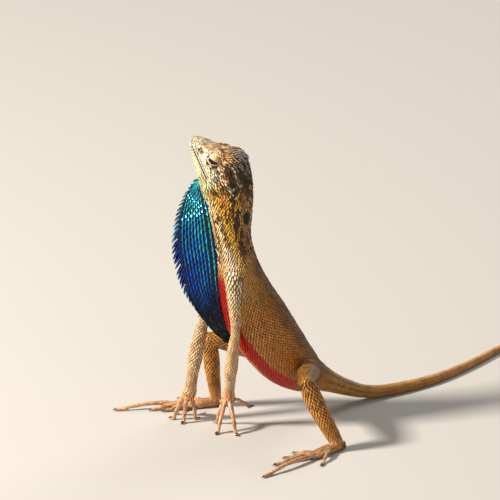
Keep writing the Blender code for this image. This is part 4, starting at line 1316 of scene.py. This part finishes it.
def foot_marking(points, rows, turns):
    shin, toe = shin_marking(points, rows + 4, turns), digit_marking(points, rows, turns)
    return mix(shin, toe, smooth(rows, 0.0, 3.0))


def digit_marking(points, rows, turns):
    return paint(
        SALMON,
        (CREAM * 0.85, 0.6 * smooth(clouds(points, 0.8, 6.0), -0.1, 0.3)),
        (BROWN, 0.35 * smooth(clouds(points, 1.2, 8.0), 0.1, 0.4)))


def skin_marking(tint, points):
    """Dark ear drums, and painted shade in the nostrils and along the mouth line, on the bare skin."""
    back, out, up = head_measures(points)
    near = on_head(back, last=16.5)
    side = near * smooth(np.abs(out), 0.8, 2.0)
    ear = 1 - smooth(apart(back, up, EAR, EAR_TALL), EAR_OPEN - 0.1, EAR_OPEN + 0.2)
    nostril = 1 - smooth(apart(back, up, NOSTRIL), 0.2, 0.4)
    mouth = bell(up, mouth_level(back), 0.14) * (back < MOUTH_END) * near
    lids = 1 - smooth(apart(back, up, LID), 1.8, 2.1)
    return paint(
        tint,
        (BROWN * 0.6, ear * side),
        # painted shade in the nostrils
        (DARK * 0.4, nostril * side),
        # painted shade along the mouth line
        (TAN * 0.35, 0.6 * mouth),
        (mix(BROWN * 0.8, CREAM * 0.7, smooth(up, 1.4, 2.2)), lids * side))


# Materials


BUMP_HEIGHT = 0.0001
MIDDLE_HIGHLIGHT = (1.3, 1.3, 1.3)  # painted highlight: brightness of the middle of each scale
# Warm tint of the painted shade at the rims, and the shares of the way out where that shade starts and is
# full.
RIM_SHADE_TINT = np.array([1.0, 0.92, 0.82])
RIM_FROM, RIM_FULL = 0.2, 0.6
GRAIN_DARK, GRAIN_LIGHT = 0.82, 1.14


class Material:
    """A material with short ways to add nodes and to join them."""

    def __init__(self, name, **values):
        self.made = bpy.data.materials.new(name)
        self.made.use_nodes = True
        self.nodes = self.made.node_tree.nodes
        self.shader = self.nodes["Principled BSDF"]
        self.set(self.shader, **values)

    def set(self, node, **values):
        """Sets inputs of a node, by their names with low lines for spaces."""
        for name, value in values.items():
            node.inputs[name.replace("_", " ")].default_value = value

    def add(self, kind, **values):
        node = self.nodes.new("ShaderNode" + kind)
        self.set(node, **values)
        return node

    def attribute(self, name):
        node = self.nodes.new("ShaderNodeAttribute")
        node.attribute_name = name
        return node

    def ramp(self, *stops):
        """Colour ramp through pairs of position and colour."""
        node = self.nodes.new("ShaderNodeValToRGB")
        steps = node.color_ramp.elements
        for step, (position, tone) in zip((steps[0], steps[1]), (stops[0], stops[-1])):
            step.position, step.color = position, (*tone, 1.0)
        for position, tone in stops[1:-1]:
            steps.new(position).color = (*tone, 1.0)
        return node

    def join(self, source, output, target, entry):
        self.made.node_tree.links.new(source.outputs[output], target.inputs[entry])

    def grain(self, size, detail, bump):
        """Fine noise that also raises the surface a little."""
        spots = self.add("TexNoise", Scale=size, Detail=detail)
        rise = self.add("Bump", Strength=bump, Distance=BUMP_HEIGHT)
        self.join(self.nodes.new("ShaderNodeTexCoord"), "Object", spots, "Vector")
        self.join(spots, "Fac", rise, "Height")
        self.join(rise, "Normal", self.shader, "Normal")
        return spots


def scale_material(name, rim_shade, rough, spec, metallic=0.0, grain=900.0):
    """Marking colour with a painted highlight in the middle of each scale and painted shade at its rim, with
    fine grain.
    """
    made = Material(name, Roughness=rough, Metallic=metallic, Specular_IOR_Level=spec)
    ramp = made.ramp((RIM_FROM, MIDDLE_HIGHLIGHT), (RIM_FULL, rim_shade * RIM_SHADE_TINT))
    shade = made.nodes.new("ShaderNodeMix")
    shade.data_type = "RGBA"
    shade.blend_type = "MULTIPLY"
    made.set(shade, Factor=1.0)
    spread = made.add("MapRange", To_Min=GRAIN_DARK, To_Max=GRAIN_LIGHT)
    vary = made.nodes.new("ShaderNodeVectorMath")
    vary.operation = "SCALE"
    made.join(made.attribute("rim"), "Fac", ramp, "Fac")
    made.join(made.attribute("marking"), "Color", shade, "A")
    made.join(ramp, "Color", shade, "B")
    made.join(made.grain(grain, 3.0, 0.12), "Fac", spread, "Value")
    made.join(shade, "Result", vary, 0)
    made.join(spread, "Result", vary, "Scale")
    made.join(vary, "Vector", made.shader, "Base Color")
    return made.made


def noise_material(name, first, second, size, rough):
    """Two colours in a fine mottle."""
    made = Material(name, Roughness=rough, Specular_IOR_Level=0.5)
    ramp = made.ramp((0.35, first), (0.65, second))
    made.join(made.grain(size, 2.0, 0.1), "Fac", ramp, "Fac")
    made.join(ramp, "Color", made.shader, "Base Color")
    return made.made


# Fan


FAN_CYAN = colour(56, 208, 226)
FAN_AZURE = colour(10, 124, 248)
FAN_NAVY = colour(6, 34, 100)
FAN_BLACK = colour(4, 9, 14)
FAN_TEAL = colour(24, 168, 150)
FAN_VIOLET = colour(30, 66, 232)


def fan_line(body):
    """Underside midline from the throat to the belly: places and yaws, evenly spaced, and its length."""
    places, yaws = [], []
    first, last, step = FAN_HEAD
    back = first
    while back < last:
        places.append(head_place(back, 0.0, level(back, HEAD_ROWS, 3)))
        yaws.append(HEAD_YAW - (back - first))
        back += step
    first, last, step = FAN_BODY
    for row in np.arange(first, last + 0.01, step):
        places.append(body.point(np.array(row), -0.5 * math.pi))
        yaws.append(float(np.interp(row, range(len(AXIS)), [r[5] for r in AXIS])))
    reach = reaches(places)
    even = np.linspace(0, reach[-1], FAN_PLACES)
    line = on_path(even, reach, np.array(places))
    yaws = np.interp(even, reach, yaws)
    blend = np.ones(FAN_BLEND) / FAN_BLEND
    half = FAN_BLEND // 2
    inner = slice(half, len(line) - half)
    for values in [line[:, k] for k in range(3)] + [yaws]:
        values[inner] = np.convolve(values, blend, "valid")
    return line, yaws, reach[-1]


def fan_place(line, yaws, share, across, lift):
    """Point of the fan at shares of its length and width, lifted off its middle to the left."""
    share, across = np.broadcast_arrays(np.asarray(share, float), np.asarray(across, float))
    at = np.clip(share, 0, 1) * (len(line) - 1)
    place = on_path(at, np.arange(len(line)), line)
    turn = np.radians(np.interp(at, np.arange(len(line)), yaws))
    away = unit(np.stack([-np.sin(turn), -np.cos(turn), 0.1 - 0.85 * share * share], axis=-1))
    out = across * level(share, FAN_WIDTHS) - FAN_SUNK * np.maximum(0.0, 1 - across * 4)
    return place + away * out[..., None] + leftwards(turn) * np.broadcast_to(lift, share.shape)[..., None]


def fan_marking(points, share, across, draw):
    """Cyan and azure at the top, violet and navy lower down, near black at the tip, with painted cyan glints
    on scattered scales and a painted teal sheen on the black tip.
    """
    soft = clouds(points, 2.5, 12.0)
    pick = draw.random(len(points))
    return paint(
        FAN_AZURE,
        (FAN_CYAN, fall(share, 0.12, 0.45) * 0.8),
        (FAN_CYAN, fall(across, 0.05, 0.32) * fall(share, 0.5, 0.75) * 0.8),
        (FAN_TEAL, 0.85 * smooth(soft + pick, 0.6, 0.95) * fall(share, 0.3, 0.6)),
        # painted glints: scattered scales made bright cyan
        (FAN_CYAN, 0.6 * (pick > 0.82) * fall(share, 0.5, 0.7)),
        (FAN_VIOLET, 0.6 * smooth(across, 0.45, 0.8) * bell(share, 0.45, 0.2)),
        (FAN_NAVY, smooth(share + 0.1 * soft, 0.46, 0.7) * 0.8),
        (FAN_NAVY, smooth(across, 0.8, 1.0) * 0.6),
        (FAN_BLACK, smooth(share + 0.08 * soft, 0.62, 0.8)),
        # painted sheen: teal glints on scattered scales of the black tip
        (FAN_TEAL * 0.7, 0.3 * smooth(share, 0.66, 0.8) * (pick > 0.8)))


def fan_sheet(line, yaws):
    """The skin of the fan: a rippled sheet of two sides that are joined round the rim."""
    columns = 4 * FAN_ROWS + 1
    across, share = np.meshgrid(np.linspace(0, 1, columns), np.linspace(0, 1, FAN_STATIONS))
    full = np.minimum(1.0, level(share, FAN_WIDTHS) / FAN_FULL)
    half = (FAN_HALF + FAN_RIPPLE * np.cos(across * FAN_ROWS * 2 * math.pi)) * (1 - FAN_TAPER * across)
    half = half * (0.5 + 0.5 * full)
    points = [fan_place(line, yaws, share, across, side * half).reshape(-1, 3) for side, _ in SIDES]
    grid = np.arange(FAN_STATIONS * columns).reshape(FAN_STATIONS, columns)
    a, b, c, d = (part.ravel() for part in (grid[:-1, :-1], grid[:-1, 1:], grid[1:, 1:], grid[1:, :-1]))
    left = np.concatenate([np.stack([a, b, c], axis=1), np.stack([a, c, d], axis=1)])
    rim = np.concatenate([grid[0], grid[1:, -1], grid[-1, -2::-1], grid[-2:0:-1, 0]])
    after = np.roll(rim, -1)
    total = grid.size
    faces = np.concatenate([
        left, left[:, ::-1] + total,
        np.stack([rim, total + rim, total + after], axis=1), np.stack([rim, total + after, after], axis=1)])
    skin = noise_material("fan_skin", FAN_BLACK, FAN_NAVY * 0.6, size=1500.0, rough=0.45)
    sheet = make_mesh("throat_fan_skin", np.concatenate(points), faces, skin)
    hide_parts("throat_fan")


def fan_row(scales, line, yaws, length, side, row, draw):
    """One row of long keeled scales on one side of the fan, splayed at the free edge."""
    edge = row == FAN_ROWS - 1
    more, wider, longer = FAN_EDGE if edge else FAN_INNER
    steps = int(length / FAN_STEP * more)
    middle = (row + 0.5) / FAN_ROWS
    shares = (np.arange(steps) + 0.5 * (row % 2) + 0.2) / (steps + 0.6)
    shares = shares + 0.08 * draw.standard_normal(steps) / steps
    across = np.full(steps, middle)
    lift = side * (FAN_HALF * (1 - FAN_TAPER * across) - 0.02)
    root = fan_place(line, yaws, shares, across, lift)
    along = unit(fan_place(line, yaws, shares + 0.03, across, lift) - root)
    outwards = unit(fan_place(line, yaws, shares, across + 0.05, lift) - root)
    splay = 0.06 + 0.8 * edge * fall(shares, 0.4, 0.8)
    along = unit(along + outwards * splay[:, None])
    normal = unit(np.cross(outwards, along))
    away = leftwards(np.radians(np.interp(shares * (FAN_PLACES - 1), np.arange(FAN_PLACES), yaws))) * side
    normal = np.where(dot(normal, away) < 0, -normal, normal)
    wide = level(shares, FAN_WIDTHS) / FAN_ROWS
    size = np.clip(wide / 0.9, 0.45, 1.1)
    tint = varied(fan_marking(root, shares, across, draw), FAN_SPREAD, draw)
    uv = np.stack([0.03 + 0.9 * across, 0.02 + 0.94 * shares], axis=1)
    scales.add(root, normal, along, np.clip(wide, *FAN_WIDTH_LIMITS) * wider,
               FAN_STEP * longer * size, FAN_KEEL * size, FAN_KEEL * size, 3.0, tint, uv)


def make_fan(body, draw):
    line, yaws, length = fan_line(body)
    fan_sheet(line, yaws)
    gloss = scale_material("fan_scales", rim_shade=0.02, rough=0.28, spec=0.35, metallic=0.55, grain=700.0)
    for side, label in SIDES:
        scales = Scales()
        for row in range(FAN_ROWS):
            fan_row(scales, line, yaws, length, side, row, draw)
        piece = scales.build("throat_fan_scales_" + label, gloss, 30)


# Eyes, lids and claws


EYE_RINGS, EYE_SIDES = 36, 48
CORNEA = 0.05  # how far the clear front stands out, in radii
EYE_EDGE = 70  # degrees from the middle of the eye at which the colours below end
EYE_COLOURS = [
    (0.0, (0.004, 0.003, 0.003)), (0.42, (0.003, 0.002, 0.002)), (0.46, (0.08, 0.035, 0.012)),
    (0.62, (0.03, 0.014, 0.006)), (0.68, (0.008, 0.005, 0.004)), (1.0, (0.012, 0.008, 0.006)),
]
LID_RINGS = [(ring, True) for ring in range(9)] + [(ring, False) for ring in range(5)]  # above, below
FIRST_BEADS, MORE_BEADS = 19, 2  # beads of the ring at the opening, and more in each next one
FIRST_GAP, RING_GAP = 3.5, 6.0  # degrees
BEAD = (0.22, 0.32, 0.03, 0.03, 1.0)  # width, length, keel, lift, bend
CLAW_THICK = 0.3
CLAW_HIGH = 0.26
CLAW_SIDES = 10


def make_eyes():
    glass = Material("eye", Roughness=0.12, Specular_IOR_Level=0.35)
    ramp = glass.ramp(*EYE_COLOURS)
    glass.join(glass.attribute("zone"), "Fac", ramp, "Fac")
    glass.join(ramp, "Color", glass.shader, "Base Color")
    lift = np.pi * (np.arange(1, EYE_RINGS)) / EYE_RINGS
    turn = round_turns(EYE_SIDES)
    ball = np.stack([np.outer(np.sin(lift), np.cos(turn)), np.outer(np.sin(lift), np.sin(turn)),
                     np.outer(np.cos(lift), np.ones(EYE_SIDES))], axis=-1)
    size = EYE_RADIUS * (1 + CORNEA * smooth(ball[..., 2:], 0.72, 0.95))
    for side, label in SIDES:
        axes = np.array(eye_frame(side))
        points, faces = grid_tube(eye_centre(side) + ball @ axes * size)
        eye = make_mesh("eyeball_" + label, points, faces, glass.made)
        ahead = np.clip(unit(points - eye_centre(side)) @ axes[2], -1, 1)
        set_values(eye, "zone", np.clip(np.arccos(ahead) / math.radians(EYE_EDGE), 0, 1))
        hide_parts("eye_" + label)


def lid_scales(scales, draw):
    """Rows of small beads round the eye opening and over the domed upper lid."""
    for side, _ in SIDES:
        along, across, outwards = eye_frame(side)
        for ring, upper in LID_RINGS:
            count = FIRST_BEADS + MORE_BEADS * ring
            turn = np.linspace(-SLIT_HALF, SLIT_HALF, count) * (1 + 0.05 * ring)
            turn = turn + (ring % 2) * SLIT_HALF / count + draw.standard_normal(count) * 0.8
            low, high = slit_edges(np.clip(turn, -SLIT_HALF, SLIT_HALF))
            gap = FIRST_GAP + ring * RING_GAP
            lift = (high + gap if upper else low - gap) + draw.standard_normal(count) * 0.5
            a, b = np.radians(turn), np.radians(lift)
            way = (np.outer(np.sin(a) * np.cos(b), along) + np.outer(np.sin(b), across)
                   + np.outer(np.cos(a) * np.cos(b), outwards))
            radius = lid_reach(turn, lift, gap, BEADS_AT)
            root = eye_centre(side) + way * radius[:, None]
            lie = unit(np.broadcast_to(along, way.shape) - way * dot(way, along))
            if upper:
                tone = mix(mix(CREAM, GOLD, 0.55), ORANGE, 0.7 * smooth(turn, 15, 60))
                tone = mix(tone, BROWN, 0.9 if ring == 0 else 0.0)
            else:
                tone = mix(PINK * 1.1, BROWN * 0.7, smooth(ring + 0.02 * turn, 2.0, 3.2))
            uv = np.stack([0.05 + 0.3 * (turn + 80) / 160 + 0.5 * (side < 0), 0.5 + lift / 250], axis=1)
            scales.add(root - lie * 0.1, way, lie, *BEAD, varied(tone, BEAD_SPREAD, draw), uv, 0.35)


def claw(root, tip, across):
    """A claw that is bowed upwards and ends in a point."""
    root, tip = np.array(root), np.array(tip)
    turn = round_turns(CLAW_SIDES)
    rings = []
    for share in np.linspace(-0.25, 1.0, 9):
        place = root + (tip - root) * share
        place[2] += CLAW_HIGH * math.sin(math.pi * max(share, 0)) * (1 - 0.4 * share)
        size = CLAW_THICK * (1 - max(share, 0)) ** 0.8 + 0.03
        ring = np.outer(np.cos(turn) * size * 0.8, across) + np.outer(np.sin(turn) * size, (0, 0, 1))
        rings.append(place + ring)
    return grid_tube(np.array(rings))


def make_claws(digits):
    horn = noise_material("claw_horn", colour(40, 26, 18), colour(110, 78, 52), size=1200.0, rough=0.3)
    points, faces = joined([claw(root, tip, across) for _, root, tip, across in digits])
    claws = make_mesh("claws", points, faces, horn)


# Stage


def make_stage():
    floor = bpy.data.meshes.new("floor")
    corners = [(x * FLOOR_REACH, y * FLOOR_REACH, 0) for x, y in ((-1, -1), (1, -1), (1, 1), (-1, 1))]
    floor.from_pydata(corners, [], [(0, 1, 2, 3)])
    plain = Material("floor_plain", Base_Color=(0.55, 0.53, 0.5, 1.0), Roughness=1.0, Specular_IOR_Level=0.1)
    floor.materials.append(plain.made)
    place_item("floor", floor)


def make_light(name, place, size, power, tone):
    lamp = bpy.data.lights.new(name, "AREA")
    lamp.size = size
    lamp.energy = power
    lamp.color = tone
    item = place_item(name, lamp)
    item.location = place
    item.rotation_euler = (Vector(place) - LIGHT_AIM).to_track_quat("Z", "Y").to_euler()


def make_view():
    turn, lift = math.radians(CAMERA_TURN), math.radians(CAMERA_LIFT)
    back = Vector((math.sin(turn) * math.cos(lift), -math.cos(turn) * math.cos(lift), math.sin(lift)))
    lens = bpy.data.cameras.new("view")
    lens.lens = CAMERA_LENS
    lens.sensor_width = 36.0
    lens.clip_end = CAMERA_REACH
    camera = place_item("view", lens)
    camera.location = (CAMERA_AIM + Vector(SHIFT)) * MM + back * CAMERA_AWAY
    camera.rotation_euler = back.to_track_quat("Z", "Y").to_euler()
    bpy.context.scene.camera = camera
    world = bpy.data.worlds.new("studio")
    world.use_nodes = True
    sky = world.node_tree.nodes["Background"].inputs
    sky["Color"].default_value = SKY
    sky["Strength"].default_value = SKY_LIGHT
    bpy.context.scene.world = world
    for name, values in LIGHTS.items():
        make_light(name, *values)
    bpy.context.scene.view_settings.view_transform = "Standard"


# Assembly


def finish(scales, name, hide):
    piece = scales.build(name, hide)


def strip(k, step, height):
    """Part of the baking map for the band with this number: left, bottom, width, height."""
    return 0.01, 0.01 + k * step, 0.97, height


def dress_head(coat, head, skin, hide, draw):
    scales = Scales(coat)
    for path, sizes, tint, keel, lift in HEAD_LINES:
        row_of_scales(scales, head, skin, path, sizes, colour(*tint), keel, lift)
    for k, band in enumerate(HEAD_BANDS):
        dress(scales, head, skin, band, strip(k, 0.22, 0.2), head_marking, draw,
              keel=0.07, lift=0.13, keep=off_features, relief=head_relief, loose=0.16, edge=head_rim_shade)
    lid_scales(scales, draw)
    finish(scales, "scales_head", hide)


def dress_courses(coat, name, courses, bands, marking, skin, hide, draw, **looks):
    """One piece of scales over the same bands of one or more courses."""
    scales = Scales(coat)
    height = 1.0 / (len(courses) * len(bands))
    for k, (course, band) in enumerate((course, band) for course in courses for band in bands):
        dress(scales, course, skin, band, strip(k, height, height * 0.95), marking, draw, **looks)
    finish(scales, name, hide)


def dress_digits(coat, digits, skin, hide, draw):
    scales = Scales(coat)
    for k, digit in enumerate(digits):
        band = (0.4, digit.rows / digit.steps - 0.1, 8)
        dress(scales, digit, skin, band, strip(k, 0.049, 0.045), digit_marking, draw,
              stretch=0.9, keel=0.03, lift=0.07, edge=0.85)
    finish(scales, "scales_digits", hide)


def make_skin(coat, points, faces):
    """The skin itself, coloured like the scales over it."""
    coat.settle()
    tint = coat.table(TINT)[nearest(coat.tree, points)[0]]
    under = scale_material("bare_skin", rim_shade=0.4, rough=0.6, spec=0.3)
    skin = make_mesh("skin", points, faces, under)
    set_values(skin, "marking", skin_marking(tint, points))
    # The bare skin gets an even painted shade, like that between the scales.
    set_values(skin, "rim", np.full(len(points), SKIN_SHADE))
    flesh = [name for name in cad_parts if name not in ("throat_fan", "eye_left", "eye_right")]
    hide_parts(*flesh)


def main():
    draw = np.random.default_rng(SEED)
    head = HeadCourse()
    body = Course(AXIS, BODY_STEPS)
    arms = [Course(rows, LIMB_STEPS, ARM_ACROSS) for rows in (ARM_LEFT, ARM_RIGHT)]
    thighs = [Course(rows, LIMB_STEPS, across_limb(rows)) for rows in (THIGH_LEFT, THIGH_RIGHT)]
    shins = [Course(rows, LIMB_STEPS, across_limb(thigh))
             for rows, thigh in ((SHIN_LEFT, THIGH_LEFT), (SHIN_RIGHT, THIGH_RIGHT))]
    soles = [Course(rows, LIMB_STEPS, (sign, 0.0, 0.0)) for rows, sign in ((SOLE_LEFT, 1), (SOLE_RIGHT, -1))]
    lines = limb_digits(ARM_LEFT, FINGERS_LEFT) + limb_digits(ARM_RIGHT, FINGERS_RIGHT)
    lines += foot_digits(soles[0], TOES_LEFT) + foot_digits(soles[1], TOES_RIGHT)
    digits = [Course(rows, DIGIT_STEPS, across) for rows, _, _, across in lines]
    tubes = [course_tube(body, BODY_SIDES, -COAT)]
    tubes += [course_tube(limb, LIMB_SIDES, -COAT) for limb in arms + thighs + shins + soles]
    tubes += [course_tube(digit, DIGIT_SIDES, -DIGIT_COAT) for digit in digits]
    points, normals, faces = refine_skin(raw_skin(head, tubes))
    plain = Skin(points, faces)
    points = sculpt_head(points, normals)
    sculpted = Skin(points, faces)

    hide = scale_material("scaled_hide", rim_shade=0.07, rough=0.4, spec=0.38)
    coat = Coat()
    dress_head(coat, head, sculpted, hide, draw)
    for name, bands, loose in (("scales_neck", BODY_BANDS[:1], 0.1), ("scales_trunk", BODY_BANDS[1:2], 0.05),
                               ("scales_tail", BODY_BANDS[2:], 0.05)):
        dress_courses(coat, name, [body], bands, body_marking, plain, hide, draw,
                      keep=off_features, loose=loose)
    for name, limbs, bands, marking, lift in (("scales_arms", arms, ARM_BANDS, arm_marking, 0.2),
                                              ("scales_shins", shins, SHIN_BANDS, shin_marking, 0.18),
                                              ("scales_thighs", thighs, THIGH_BANDS, thigh_marking, 0.12),
                                              ("scales_feet", soles, SOLE_BANDS, foot_marking, 0.14)):
        dress_courses(coat, name, limbs, bands, marking, plain, hide, draw,
                      stretch=0.66, keel=0.65 * lift, lift=lift)
    dress_digits(coat, digits, plain, hide, draw)
    fill_bare(coat, sculpted, draw)
    finish(coat.groups[-1], "scales_folds", hide)
    make_skin(coat, points, faces)
    make_fan(body, draw)
    make_eyes()
    make_claws(lines)
    make_stage()
    make_view()


SHIFT = place_shift()
main()
